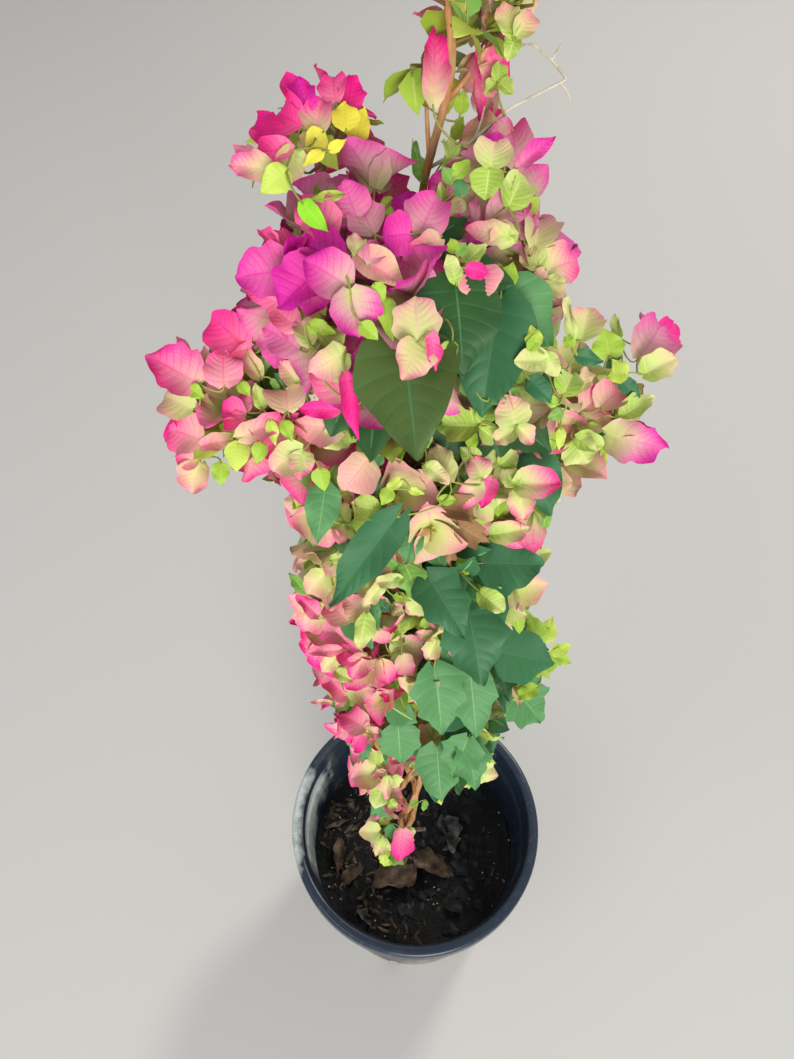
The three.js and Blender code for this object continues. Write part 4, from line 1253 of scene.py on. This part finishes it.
upperRight = [
    bract((433, 104), (437, 27), 0.34, (0.25, 1.0), deep=-8),
    bract((490, 168), (496, 140), 1.25, (0.05, 0.42), deep=-6),
    bract((489, 169), (486, 196), 1.15, (0.0, 0.0), deep=-6),
    bract((492, 152), (474, 117), 1.0, (0.2, 0.45), deep=38),
    bract((517, 166), (511, 119), 0.75, (0.3, 0.65), "violet", 34),
    bract((517, 168), (549, 140), 0.4, (0.5, 0.85), "violet"),
    bract((506, 140), (500, 115), 0.6, (0.7, 0.85), deep=38),
    bract((508, 207), (523, 175), 0.9, (0.0, 0.14)),
    bract((487, 117), (478, 90), 0.9, (0.15, 0.55), "violet", 40),
    bract((491, 119), (498, 103), 0.9, (0.8, 0.9), deep=42),
    bract((512, 236), (468, 229), 0.5, (0.05, 0.6), deep=-10),
    bract((498, 224), (513, 244), 1.0, (0.4, 0.1), deep=-8),
    bract((490, 222), (526, 200), 0.75, (0.3, 0.65), "violet"),
    bract((476, 222), (474, 190), 0.3, (0.4, 0.6), "violet"),
    bract((535, 246), (546, 205), 0.85, (0.1, 0.5), "violet"),
    bract((524, 240), (532, 212), 0.7, (0.4, 0.6), "violet", 4),
    bract((541, 272), (580, 258), 0.95, (0.08, 0.75)),
    bract((546, 280), (564, 295), 0.8, (0.05, 0.35)),
    bract((540, 268), (525, 248), 1.0, (0.05, 0.35)),
    bract((545, 270), (534, 280), 0.8, (0.3, 0.55), deep=-3),
    bract((478, 269), (481, 298), 1.5, (0.6, 0.35), deep=-8),
    bract((466, 268), (488, 274), 0.7, (0.8, 0.95), deep=-10),
    bract((455, 236), (458, 196), 0.5, (0.0, 0.25)),
    bract((464, 263), (486, 243), 0.6, (0.0, 0.1)),
    bract((456, 282), (449, 256), 0.6, (0.0, 0.2), deep=-4),
    bract((452, 160), (446, 132), 0.6, (0.0, 0.15)),
    bract((442, 202), (441, 182), 0.5, (0.0, 0.15)),
    bract((512, 34), (502, 6), 0.8, (0.0, 0.45)),
    bract((516, 36), (530, 14), 0.8, (0.1, 0.5)),
    bract((514, 38), (508, 58), 0.8, (0.0, 0.1)),
    bract((498, 80), (500, 62), 0.9, (0.0, 0.06)),
    bract((500, 82), (512, 94), 0.9, (0.0, 0.06)),
    bract((497, 82), (486, 92), 0.9, (0.0, 0.1)),
    leaf((461, 112), (463, 92), 0.7, "lime", -6),
    leaf((455, 138), (462, 118), 0.6, "lime", 32),
    leaf((452, 182), (444, 168), 0.8, "fresh", -6),
    leaf((456, 176), (468, 160), 0.8, "lime", -6),
    leaf((462, 195), (458, 177), 0.8, "mid", -4),
    leaf((455, 252), (450, 238), 0.9, "lime", -8),
    leaf((458, 254), (466, 240), 0.8, "fresh", -8),
    leaf((478, 232), (470, 200), 0.5, "deep", 8),
    leaf((506, 284), (512, 264), 0.9, "lime", -4),
    leaf((500, 276), (494, 262), 0.9, "young", -6),
    leaf((420, 178), (414, 124), 0.22, "fresh", 6),
]
bigLeaves = [
    leaf((404, 341), (415, 451), 0.86, "olive", 2),
    leaf((455, 282), (467, 368), 0.94, "dark", 2),
    leaf((500, 300), (478, 409), 0.74, "deep", 8),
    leaf((508, 284), (552, 346), 0.72, "mid", 0),
    leaf((530, 452), (552, 517), 0.66, "deep", 12),
    leaf((492, 400), (522, 385), 0.5, "fresh", 2),
    leaf((530, 380), (553, 401), 0.7, "deep", 6),
    leaf((548, 372), (562, 392), 0.8, "dark", 8),
    leaf((325, 487), (318, 541), 0.62, "mid", 4),
    leaf((397, 517), (322, 613), 0.34, "deep", -6),
    leaf((412, 530), (406, 562), 0.8, "mid", 6),
    leaf((404, 562), (420, 601), 0.7, "fresh", 4),
    leaf((370, 470), (377, 496), 0.7, "mid", 4),
    leaf((380, 455), (372, 468), 0.9, "mid", 4),
    leaf((382, 500), (392, 522), 0.8, "mid", 6),
    leaf((428, 577), (465, 634), 0.72, "deep", 2),
    leaf((483, 563), (547, 563), 0.92, "deep", 2),
    leaf((467, 608), (485, 679), 0.84, "deep", 4),
    leaf((500, 652), (558, 664), 0.9, "deep", 4),
    leaf((515, 690), (548, 727), 0.95, "mid", 8),
    leaf((434, 668), (446, 737), 0.72, "mid", 0),
    leaf((470, 672), (478, 739), 0.66, "mid", 6),
    leaf((437, 747), (440, 801), 0.82, "mid", 0),
    leaf((468, 738), (451, 780), 0.85, "mid", -4),
    leaf((468, 740), (476, 789), 0.7, "mid", 2),
    leaf((398, 726), (402, 773), 0.84, "mid", 0),
    leaf((497, 660), (508, 698), 0.6, "dark", 14),
    leaf((368, 740), (362, 762), 0.5, "mid", 2),
]
leftSpray = [
    bract((246, 350), (212, 315), 0.85, (0.6, 0.85)),
    bract((250, 342), (240, 306), 0.8, (0.45, 0.75)),
    bract((199, 384), (153, 358), 0.88, (0.4, 0.95)),
    bract((224, 386), (222, 350), 1.0, (0.45, 0.7), deep=-3),
    bract((193, 409), (154, 392), 0.78, (0.12, 0.5)),
    bract((202, 440), (168, 428), 1.15, (0.4, 0.7)),
    bract((200, 462), (192, 492), 1.0, (0.15, 0.6)),
    bract((198, 460), (178, 458), 0.9, (0.3, 0.75)),
    bract((200, 446), (240, 437), 0.4, (0.5, 0.2), deep=-4),
    bract((246, 416), (222, 414), 1.3, (0.55, 0.9)),
    bract((246, 412), (241, 392), 1.0, (0.4, 0.85)),
    bract((240, 438), (294, 414), 0.36, (0.3, 0.75), deep=-6),
    bract((288, 412), (286, 386), 1.5, (0.3, 0.38)),
    bract((343, 398), (317, 361), 0.8, (0.45, 0.8), deep=-3),
    bract((338, 410), (301, 409), 0.46, (0.75, 0.95), deep=-6),
    bract((345, 374), (358, 435), 0.26, (0.75, 0.95), deep=-10),
    bract((342, 430), (296, 424), 0.66, (0.3, 0.55)),
    bract((368, 459), (345, 490), 1.0, (0.32, 0.45), deep=-6),
    bract((303, 450), (272, 470), 0.9, (0.05, 0.45)),
    bract((304, 452), (300, 478), 0.9, (0.1, 0.6)),
    bract((350, 424), (326, 446), 0.85, (0.0, 0.12)),
    bract((372, 436), (360, 452), 0.9, (0.0, 0.15)),
    bract((262, 408), (256, 386), 0.55, (0.0, 0.12)),
    bract((260, 378), (236, 352), 0.6, (0.2, 0.55)),
    bract((300, 385), (282, 364), 0.8, (0.1, 0.5)),
    bract((190, 352), (170, 340), 0.6, (0.5, 0.7), deep=4),
    bract((208, 372), (200, 345), 0.6, (0.2, 0.6), deep=2),
    bract((326, 372), (352, 360), 0.9, (0.1, 0.3)),
    leaf((238, 444), (236, 470), 0.9, "young", -3),
    leaf((221, 464), (220, 484), 0.85, "lime", -3),
    leaf((262, 444), (256, 462), 0.8, "lime", -3),
    leaf((270, 422), (276, 444), 0.5, "young", -3),
    leaf((284, 422), (292, 440), 0.7, "lime", -3),
    leaf((190, 388), (204, 398), 0.8, "lime", -3),
    leaf((240, 384), (250, 395), 0.8, "lime", -3),
    leaf((268, 350), (262, 378), 0.4, "fresh", -2),
    leaf((272, 380), (280, 392), 0.5, "fresh", 0),
    leaf((320, 470), (324, 490), 0.9, "lime", -3),
]
centre = [
    bract((418, 344), (415, 298), 0.95, (0.12, 0.5), deep=-12),
    bract((418, 344), (404, 378), 1.0, (0.1, 0.55), deep=-13),
    bract((430, 334), (436, 368), 0.45, (0.6, 0.85), deep=-15),
    bract((452, 343), (446, 373), 0.6, (0.0, 0.1), deep=-8),
    bract((546, 360), (516, 361), 0.85, (0.1, 0.2)),
    bract((546, 354), (557, 375), 0.8, (0.08, 0.2)),
    bract((478, 426), (440, 424), 0.85, (0.0, 0.05)),
    bract((482, 422), (490, 400), 0.9, (0.0, 0.06)),
    bract((480, 428), (498, 440), 0.9, (0.0, 0.12)),
    bract((516, 426), (506, 398), 1.1, (0.05, 0.45), deep=-4),
    bract((518, 426), (532, 443), 0.8, (0.1, 0.5), deep=-5),
    bract((516, 428), (496, 442), 0.8, (0.0, 0.4), deep=-4),
    bract((450, 481), (434, 445), 0.62, (0.15, 0.3)),
    bract((425, 465), (448, 482), 0.6, (0.05, 0.35)),
    bract((482, 478), (472, 458), 1.1, (0.1, 0.75), deep=-6),
    bract((480, 481), (459, 508), 0.66, (0.15, 0.75), deep=-6),
    bract((492, 478), (482, 506), 0.6, (0.6, 0.95), deep=-8),
    bract((516, 485), (557, 484), 0.78, (0.03, 0.85), deep=-6),
    bract((520, 488), (523, 519), 0.8, (0.03, 0.7), deep=-6),
    bract((514, 485), (504, 470), 1.1, (0.0, 0.25), deep=-6),
    bract((500, 465), (516, 452), 0.9, (0.0, 0.15)),
    bract((425, 448), (416, 425), 0.8, (0.0, 0.1), deep=4),
    bract((478, 462), (462, 448), 0.8, (0.0, 0.12)),
    leaf((470, 446), (476, 432), 0.8, "lime", 0),
    leaf((536, 346), (530, 326), 0.8, "young", -2),
    leaf((530, 350), (540, 332), 0.6, "lime", -2),
    leaf((440, 500), (458, 500), 0.6, "lime", -2),
    leaf((390, 490), (382, 504), 0.9, "lime", -2),
    leaf((410, 490), (424, 494), 0.5, "young", -2),
    leaf((400, 480), (384, 492), 0.5, "young", -2),
]
rightSpray = [
    bract((581, 341), (590, 307), 1.0, (0.08, 0.45)),
    bract((573, 338), (567, 301), 0.3, (0.1, 0.2)),
    bract((619, 338), (614, 315), 0.45, (0.05, 0.15)),
    bract((638, 359), (668, 319), 0.9, (0.3, 0.7), "violet"),
    bract((656, 342), (678, 320), 0.9, (0.7, 0.95), deep=4),
    bract((646, 330), (642, 309), 0.4, (0.4, 0.6), "violet", 4),
    bract((643, 374), (674, 358), 0.8, (0.03, 0.3), deep=-4),
    bract((582, 411), (607, 391), 1.0, (0.3, 0.8), deep=-3),
    bract((600, 408), (622, 385), 1.0, (0.3, 0.65)),
    bract((622, 416), (652, 397), 0.6, (0.0, 0.15)),
    bract((606, 434), (661, 448), 0.66, (0.05, 0.9), "violet", -4),
    bract((612, 433), (650, 426), 0.34, (0.5, 0.8), "violet"),
    bract((577, 426), (612, 412), 0.75, (0.03, 0.5)),
    bract((573, 440), (588, 462), 1.3, (0.0, 0.25)),
    bract((576, 438), (604, 446), 0.7, (0.0, 0.1), deep=-3),
    bract((563, 394), (574, 372), 1.1, (0.0, 0.1)),
    bract((582, 390), (586, 366), 0.6, (0.2, 0.4)),
    leaf((609, 356), (605, 331), 1.2, "lime", -3),
    leaf((610, 354), (622, 340), 1.0, "young", -3),
    leaf((626, 373), (607, 376), 0.9, "young", -3),
    leaf((624, 374), (613, 360), 0.9, "young", -4),
    leaf((577, 355), (603, 362), 0.6, "deep", -2),
    leaf((622, 381), (640, 397), 0.66, "deep", 0),
    leaf((606, 366), (622, 356), 0.5, "mid", 0),
    leaf((572, 346), (564, 336), 0.9, "lime", -3),
    leaf((561, 430), (560, 450), 0.5, "young", -3),
    leaf((552, 440), (544, 428), 0.9, "lime", -3),
    leaf((553, 442), (546, 452), 0.9, "lime", -3),
    leaf((556, 404), (544, 396), 0.8, "lime", -3),
    leaf((562, 412), (548, 418), 0.8, "fresh", -3),
    leaf((603, 450), (606, 466), 0.4, "lime", 0),
    leaf((586, 432), (600, 424), 0.8, "lime", -4),
]
middle = [
    bract((326, 572), (308, 593), 1.0, (0.1, 0.42)),
    bract((395, 540), (402, 515), 0.6, (0.35, 0.62), deep=-3),
    bract((395, 540), (382, 558), 0.75, (0.3, 0.62), "violet", -3),
    bract((396, 541), (411, 551), 0.6, (0.3, 0.7), deep=-3),
    bract((373, 590), (351, 575), 0.95, (0.05, 0.5)),
    bract((402, 580), (374, 582), 0.5, (0.05, 0.3), deep=-2),
    bract((384, 582), (362, 608), 0.4, (0.1, 0.35), deep=-3),
    bract((379, 510), (351, 505), 0.9, (0.0, 0.08)),
    bract((346, 522), (335, 500), 0.7, (0.0, 0.42)),
    bract((340, 524), (322, 520), 0.7, (0.0, 0.4)),
    bract((346, 524), (360, 530), 0.8, (0.0, 0.15)),
    bract((318, 616), (298, 597), 0.55, (0.5, 0.8)),
    bract((348, 622), (326, 600), 0.85, (0.35, 0.62)),
    bract((364, 616), (346, 598), 1.0, (0.25, 0.5)),
    bract((352, 636), (317, 630), 0.66, (0.4, 0.72)),
    bract((366, 614), (360, 647), 0.6, (0.0, 0.18), deep=-4),
    bract((361, 656), (335, 649), 0.95, (0.55, 0.78), deep=-2),
    bract((368, 656), (352, 678), 0.85, (0.3, 0.85), deep=-3),
    bract((392, 655), (426, 645), 0.9, (0.08, 0.55)),
    bract((402, 655), (411, 675), 0.9, (0.25, 0.7)),
    bract((380, 660), (388, 683), 0.85, (0.2, 0.85)),
    bract((400, 633), (396, 607), 0.75, (0.0, 0.12)),
    bract((388, 640), (404, 628), 0.9, (0.0, 0.2)),
    bract((340, 650), (308, 653), 0.36, (0.45, 0.65)),
    bract((336, 656), (322, 672), 0.7, (0.1, 0.45)),
    bract((336, 672), (352, 680), 0.7, (0.0, 0.2)),
    bract((330, 560), (345, 556), 0.6, (0.0, 0.25), deep=4),
    bract((490, 535), (526, 528), 0.6, (0.0, 0.5)),
    bract((480, 592), (502, 610), 0.85, (0.0, 0.12), deep=-6),
    bract((436, 640), (428, 660), 0.8, (0.05, 0.5)),
    bract((436, 638), (416, 632), 0.5, (0.2, 0.55)),
    leaf((422, 626), (434, 616), 0.6, "lime", -3),
    leaf((540, 642), (532, 616), 0.8, "lime", -4),
    leaf((546, 640), (552, 618), 0.7, "young", -4),
    leaf((552, 652), (575, 645), 0.5, "young", -3),
    leaf((552, 654), (572, 663), 0.7, "lime", -3),
    leaf((536, 688), (514, 698), 0.6, "lime", -6),
    leaf((305, 592), (289, 573), 0.5, "fresh", 0),
    leaf((395, 596), (410, 600), 0.6, "lime", -2),
    leaf((390, 560), (402, 570), 0.8, "fresh", -2),
    leaf((445, 508), (488, 514), 0.6, "dry", 0),
    leaf((458, 524), (492, 548), 0.6, "dry", 0),
    leaf((447, 540), (453, 572), 0.34, "dry", 0),
]
foot = [
    bract((346, 696), (323, 675), 0.75, (0.5, 0.75)),
    bract((348, 692), (374, 689), 0.8, (0.15, 0.55)),
    bract((346, 697), (336, 706), 0.9, (0.2, 0.6)),
    bract((366, 729), (341, 714), 0.85, (0.4, 0.78)),
    bract((363, 733), (352, 752), 0.95, (0.6, 0.92)),
    bract((364, 731), (383, 735), 0.55, (0.2, 0.6)),
    bract((331, 702), (310, 702), 0.25, (0.3, 0.5)),
    bract((378, 712), (366, 704), 0.8, (0.0, 0.25)),
    bract((385, 682), (400, 672), 0.6, (0.0, 0.1)),
    bract((376, 774), (352, 778), 1.05, (0.08, 0.6)),
    bract((386, 772), (372, 777), 0.5, (0.3, 0.55), deep=-3),
    bract((384, 784), (375, 806), 0.8, (0.0, 0.2)),
    bract((388, 776), (386, 800), 0.5, (0.1, 0.5), deep=-4),
    bract((392, 776), (400, 788), 0.9, (0.0, 0.3), deep=-3),
    bract((376, 764), (376, 746), 0.8, (0.0, 0.2)),
    bract((403, 829), (400, 859), 0.72, (0.5, 0.9), deep=-4),
    bract((379, 832), (361, 833), 1.0, (0.08, 0.32)),
    bract((390, 800), (396, 809), 0.9, (0.0, 0.1)),
    bract((381, 836), (377, 858), 0.5, (0.05, 0.4)),
    bract((382, 838), (391, 853), 0.5, (0.05, 0.2)),
    bract((407, 828), (416, 835), 0.6, (0.0, 0.2)),
    leaf((391, 826), (391, 845), 0.62, "mid", -2),
    leaf((380, 804), (390, 819), 0.9, "mid", -2),
    leaf((384, 855), (384, 866), 0.85, "young", -2),
    leaf((386, 817), (380, 826), 1.0, "young", -3),
    leaf((406, 700), (418, 690), 0.6, "young", -2),
    leaf((408, 712), (420, 704), 0.6, "lime", -2),
    leaf((400, 752), (388, 760), 0.5, "young", -4),
    leaf((412, 806), (418, 801), 1.0, "fresh", 0),
    leaf((438, 794), (441, 804), 0.8, "young", 0),
    leaf((426, 802), (422, 812), 0.6, "fresh", 0),
]
shownBlades = [
    *bigLeaves, *upperLeft, *crownTop, *upperRight, *leftSpray, *centre, *rightSpray, *middle, *foot,
]

showing = dict(share=0.9, lean=0.3, longer=1.08, room=0.5, clear=0.42)
taken = []  # what has grown: its middle and the room that it needs
sights = []  # what shows: the way to it from the camera, how far, and its half width


def spotOnCrown(across, below):
    # how deep in the picture the first mass lies on the line of sight, or the one it passes nearest
    line, hits = sightLine(across, below), []
    for values in masses.values():
        start, along = (eye - values["at"]) / values["reach"], line / values["reach"]
        nearest = -(start @ along) / (along @ along)
        miss = np.linalg.norm(start + along * nearest)
        if miss < showing["share"]:
            hits.append((0, nearest - math.sqrt(showing["share"]**2 - miss**2) / np.linalg.norm(along)))
        else:
            hits.append((miss, nearest))
    return min(hits)[1]


def growShown(blade):
    global anchors
    draw = drawsFrom(blade["root"][0] * 1087 + blade["root"][1] * 31 + blade["tip"][0])
    depth = spotOnCrown(*blade["root"]) + blade["deep"]
    start, end = eye + sightLine(*blade["root"]) * depth, eye + sightLine(*blade["tip"]) * depth
    toEye, lean = -unit(start - eye), draw(-showing["lean"], showing["lean"])
    length = np.linalg.norm(end - start) * showing["longer"] * math.sqrt(1 + lean**2)
    grows = unit(unit(end - start) + toEye * lean)
    face = unit(toEye + up * 0.15 + np.array([draw(-0.3, 0.3), 0, draw(-0.2, 0.3)]))
    offsets = anchors - start
    far = np.linalg.norm(offsets, axis=1)
    foot = anchors[int(np.argmin(far + 1.5 * np.maximum(offsets @ toEye, 0)))]
    bendAt = start - grows * np.linalg.norm(start - foot) * 0.45
    ways = np.linspace(0, 1, 6)[:, None]
    addThread("stalk", foot * (1 - ways)**2 + bendAt * 2 * ways * (1 - ways) + start * ways**2, 0.6, 0.42)
    anchors = np.vstack([anchors, start])
    form = (start, grows, face, length, length * blade["wide"])
    if "green" in blade:
        addLeaf("shownLeaf", *form, blade["green"], draw)
    else:
        addBract("shownBract", *form, blade["ramp"], blade["tone"], draw, isShown=True)
    middle = (start + end) / 2
    taken.append((middle, showing["room"] * length))
    sights.append((unit(middle - eye), np.linalg.norm(middle - eye), showing["clear"] * length))


for blade in shownBlades:
    growShown(blade)
shownStar = dict(seen=(315, 398), deep=-7, size=3.6)
starAt = eye + sightLine(*shownStar["seen"]) * (spotOnCrown(*shownStar["seen"]) + shownStar["deep"])
stars.append((starAt, unit(eye - starAt), shownStar["size"]))
starFoot = anchors[int(np.argmin(np.linalg.norm(anchors - starAt, axis=1)))]
addThread("tube", [starFoot, (starFoot + starAt) / 2 + up, starAt], 0.5, 0.7)
sights.append((unit(starAt - eye), np.linalg.norm(starAt - eye), 4))
for point in deadTwigCurve[::12]:  # the dead twig shows in front of the crown
    sights.append((unit(point - eye), np.linalg.norm(point - eye), 2.5))
print("shown pieces:", len(shownBlades))


# The rest of the crown, grown round them

def isFree(point, room):
    places, rooms = np.array([entry[0] for entry in taken]), np.array([entry[1] for entry in taken])
    return bool(np.all(np.linalg.norm(places - point, axis=1) > (rooms + room) / 2))


def isOpen(point, size):
    # neither outside the picture's outline nor in front of a piece that shows
    if not inOutline(point, size * 1.5):
        return False
    ways, fars, clears = (np.array(part) for part in zip(*sights))
    along = ways @ (point - eye)
    aside = np.linalg.norm((point - eye)[None, :] * (fars / along)[:, None] - ways * fars[:, None], axis=1)
    return not bool(np.any((along < fars + 4) & (aside < clears + size * 0.45)))


def isInside(values, point, share=1.0):
    return np.linalg.norm((point - values["at"]) / values["reach"]) < share


def addTrio(values, hub, along, draw, size=1.0):
    # three bracts round one stalk, some with a slender flower tube
    spread = draw(-0.2, 0.2)
    tone = (max(values["tone"][0] + spread * 0.5, 0), min(max(values["tone"][1] + spread, 0.05), 1))
    pile = "pink" if tone[1] > 0.5 else "cream"
    turn, opened = draw(0, fullTurn), draw(*grow["open"])
    for n in range(3):
        spoke = spokeAt(along, turn + n * fullTurn / 3 + draw(-0.16, 0.16))
        lean = opened + draw(-0.14, 0.14)
        grows = unit(leaning(along, spoke, lean))
        face = unit(leaning(along, spoke, lean - math.pi / 2))
        length = draw(*grow["bract"]) * size
        addBract(pile, hub + spoke * 0.5, grows, face, length, length * draw(*grow["bractWide"]),
                 values["ramp"], tone, draw)
        if draw(0, 1) < grow["tubeShare"]:
            base = hub + grows * length * 0.08 + face * 0.6
            tip = hub + grows * length * draw(0.3, 0.42) + along * draw(1, 3) + face * 1.5
            addThread("tube", [base, (base + tip) / 2 + face * 0.7, tip], 0.45, draw(0.6, 0.8))
            if draw(0, 1) < grow["starShare"]:
                stars.append((tip, unit(along + spoke * 0.3), 3.2))


def leafBetween(values, root, along, draw, size, green, tries=5):
    # a leaf on its own stalk that looks up and out
    out = root - columnAt(root[2])
    out[2] = 0
    out = unit(out + 1e-6)
    room = max(grow["leafApart"] * size / 40, 6)
    for _ in range(tries):
        spoke = spokeAt(along, draw(0, fullTurn))
        grows = unit(leaning(along, spoke, draw(0.7, 1.3)) + out * 0.25 - up * draw(0, 0.45))
        place = root + grows * size * draw(0.22, 0.34)
        middle = place + grows * size * 0.45
        if not isInside(values, place + grows * size * 0.8, 1.1) or not isFree(middle, room):
            continue
        if not isOpen(middle, size * 0.4):
            continue
        face = unit(up * 0.75 + out * 0.55 + spoke * draw(-0.25, 0.25))
        addThread("stalk", [root, (root + place) / 2 - up * 0.4, place + grows * 0.6], 0.55, 0.38)
        addLeaf("leaf", place, grows, face, size, size * draw(0.8, 0.96), green, draw)
        taken.append((middle, room))
        return


def shootBetween(values, root, along, draw, tries=6):
    # a short side shoot that ends in a trio, with a young leaf or two under it
    for _ in range(tries):
        shoot = unit(along * draw(0.2, 0.9) + spokeAt(along, draw(0, fullTurn)) + up * 0.25)
        hub = root + shoot * draw(*grow["shoot"])
        middle = hub + shoot * grow["trioLift"]
        isRoomy = isInside(values, hub + shoot * 10, 0.97) and isFree(middle, grow["apart"])
        if isRoomy and isOpen(middle, grow["trioSize"]):
            line = sagging(root, hub, 0.08, 3)
            addThread("stalk", line, 0.55, 0.42)
            addTrio(values, hub, shoot, draw, draw(0.8, 1.05))
            taken.append((middle, grow["apart"]))
            for share in (1, 2):
                if draw(0, 1) < 0.6:
                    leafBetween(values, line[share], shoot, draw, draw(*grow["shootLeaf"]), "young", 2)
            return


def dressTwig(values, line, draw):
    along = unit(line[-1] - line[-2])
    lift = unit(along + up * 0.35)
    big = draw(*grow["bigLeaf" if values["green"] in ("dark", "deep") else "midLeaf"])
    for share in grow["dressAt"]:
        root = line[int(round(share * (len(line) - 1)))]
        middle = root + lift * grow["trioLift"]
        if share == 1 and draw(0, 1) > values["leafy"] and isFree(middle, grow["apart"]):
            if isOpen(middle, grow["trioSize"]):
                addTrio(values, root, lift, draw)
                taken.append((middle, grow["apart"]))
        if draw(0, 1) < 1 - values["leafy"] * 0.75:
            shootBetween(values, root, along, draw)
        if draw(0, 1) < 0.15 + values["leafy"] * 0.6:
            leafBetween(values, root, along, draw, big * draw(0.6, 1.0), values["green"])
        if draw(0, 1) < 0.62:
            size, green = draw(*grow["smallLeaf"]), "young" if draw(0, 1) < 0.6 else "lime"
            leafBetween(values, root, along, draw, size, green, 3)


for values in masses.values():
    for line, draw in values["lines"]:
        dressTwig(values, line, draw)

# Short shoots straight from the canes, which close the gaps between the masses
sideShoots = [
    dict(low=600, high=1190, apart=11, canes=("lead", "left", "right"), reach=(30, 68), room=40),
    dict(low=1316, high=1404, apart=7, canes=("lead",), reach=(14, 34), room=34),
]


def growSideShoots(low, high, apart, canes, reach, room):
    draw = drawsFrom(907)
    for k, height in enumerate(np.arange(low, high, apart)):
        root = pointAtHeight(caneCurves[canes[k % len(canes)]], height)
        turn = fullTurn * ((0.3 + k * evenSteps[0]) % 1)
        out = unit([math.cos(turn), math.sin(turn), draw(0.1, 0.8)])
        line = sagging(root, root + out * draw(*reach), -0.06, 8)
        near = min(masses.values(), key=lambda values: np.linalg.norm(line[-1] - values["at"]))
        before = len(taken)
        dressTwig(dict(near, at=line[-3], reach=np.full(3, room)), line, draw)
        if len(taken) > before:
            addThread("twig", line, 1.0, 0.6)


for section in sideShoots:
    growSideShoots(**section)
print("crown grown:", *(f"{name} {len(pile)}" for name, pile in blades.items()))

pinkOnes = [name for name, values in masses.items() if sum(values["tone"]) > 0.85]
leafyOnes = [name for name, values in masses.items() if values["leafy"] >= 0.7]
creamOnes = [name for name in masses if name not in pinkOnes + leafyOnes]
kinds = dict(
    pink=("pink_bracts", bractMaterials, "bract_pink", pinkOnes),
    leaf=("leaves", leafMaterials, "leaf_green", leafyOnes),
    cream=("cream_bracts", bractMaterials, "bract_cream", creamOnes),
)
levels = dict(_top=(1240, 1600), _high=(1080, 1240), _low=(0, 1080))
for kind, (name, materials, slotName, owners) in kinds.items():
    for part, (low, high) in levels.items():
        pile = [entry for entry in blades[kind] if low < entry[0][0][2] <= high]
        nodes = ["foliage_" + owner for owner in owners if low < masses[owner]["at"][2] <= high]
        print(name + part, len(pile), "blades", sum(len(entry[2]["faces"]) for entry in pile), "faces")
        makeBlades(name + part, pile, materials, slotName, nodes)
makeBlades("front_bracts", blades["shownBract"], bractMaterials, "bract_pink", [])
makeBlades("front_leaves", blades["shownLeaf"], leafMaterials, "leaf_green", [])
makeStars()
makeThreads("twigs", threads["twig"], 6, greenTwig)
makeThreads("stalks", threads["stalk"], 4, plainFinish("green_stalk", (158, 166, 78), 0.55))
makeThreads("flower_tubes", threads["tube"], 4, plainFinish("flower_tube", (206, 164, 116), 0.5))
print("foliage made")


# Floor and light

def makeFloor(size):
    material, tree, shader = newMaterial("floor")
    feed(tree, shader, {"Base Color": (0.62, 0.61, 0.59, 1), "Roughness": 0.85})
    corners = [(x * size, y * size, 0) for x, y in ((-1, -1), (1, -1), (1, 1), (-1, 1))]
    meshPiece("floor", corners, [(0, 1, 2, 3)], [material])


def addLamp(name, place, size, power, target, colour=(1, 1, 1)):
    lamp = bpy.data.lights.new(name, "AREA")
    lamp.shape, lamp.size, lamp.energy, lamp.color = "DISK", size, power, colour
    holder = linked(name, lamp)
    holder.location = place
    holder.rotation_euler = (Vector(target) - Vector(place)).to_track_quat("-Z", "Y").to_euler()


makeFloor(6000)
addLamp("window", (-3.0, -2.4, 5.0), 3.2, 50, (0, 0, 0.8))
addLamp("low sun", (3.0, 4.2, 4.6), 1.4, 170, (0, 0, 1.0), (1, 0.94, 0.84))
addLamp("front", (0.6, -4.3, 2.2), 2.6, 190, (0, 0, 0.45), (1, 0.98, 0.94))
sky = bpy.data.worlds.new("sky")
sky.use_nodes = True
feed(sky.node_tree, sky.node_tree.nodes["Background"], {"Color": (0.93, 0.96, 1, 1), "Strength": 0.4})
bpy.context.scene.world = sky
bpy.context.scene.view_settings.view_transform = "Standard"

print("scene ready")
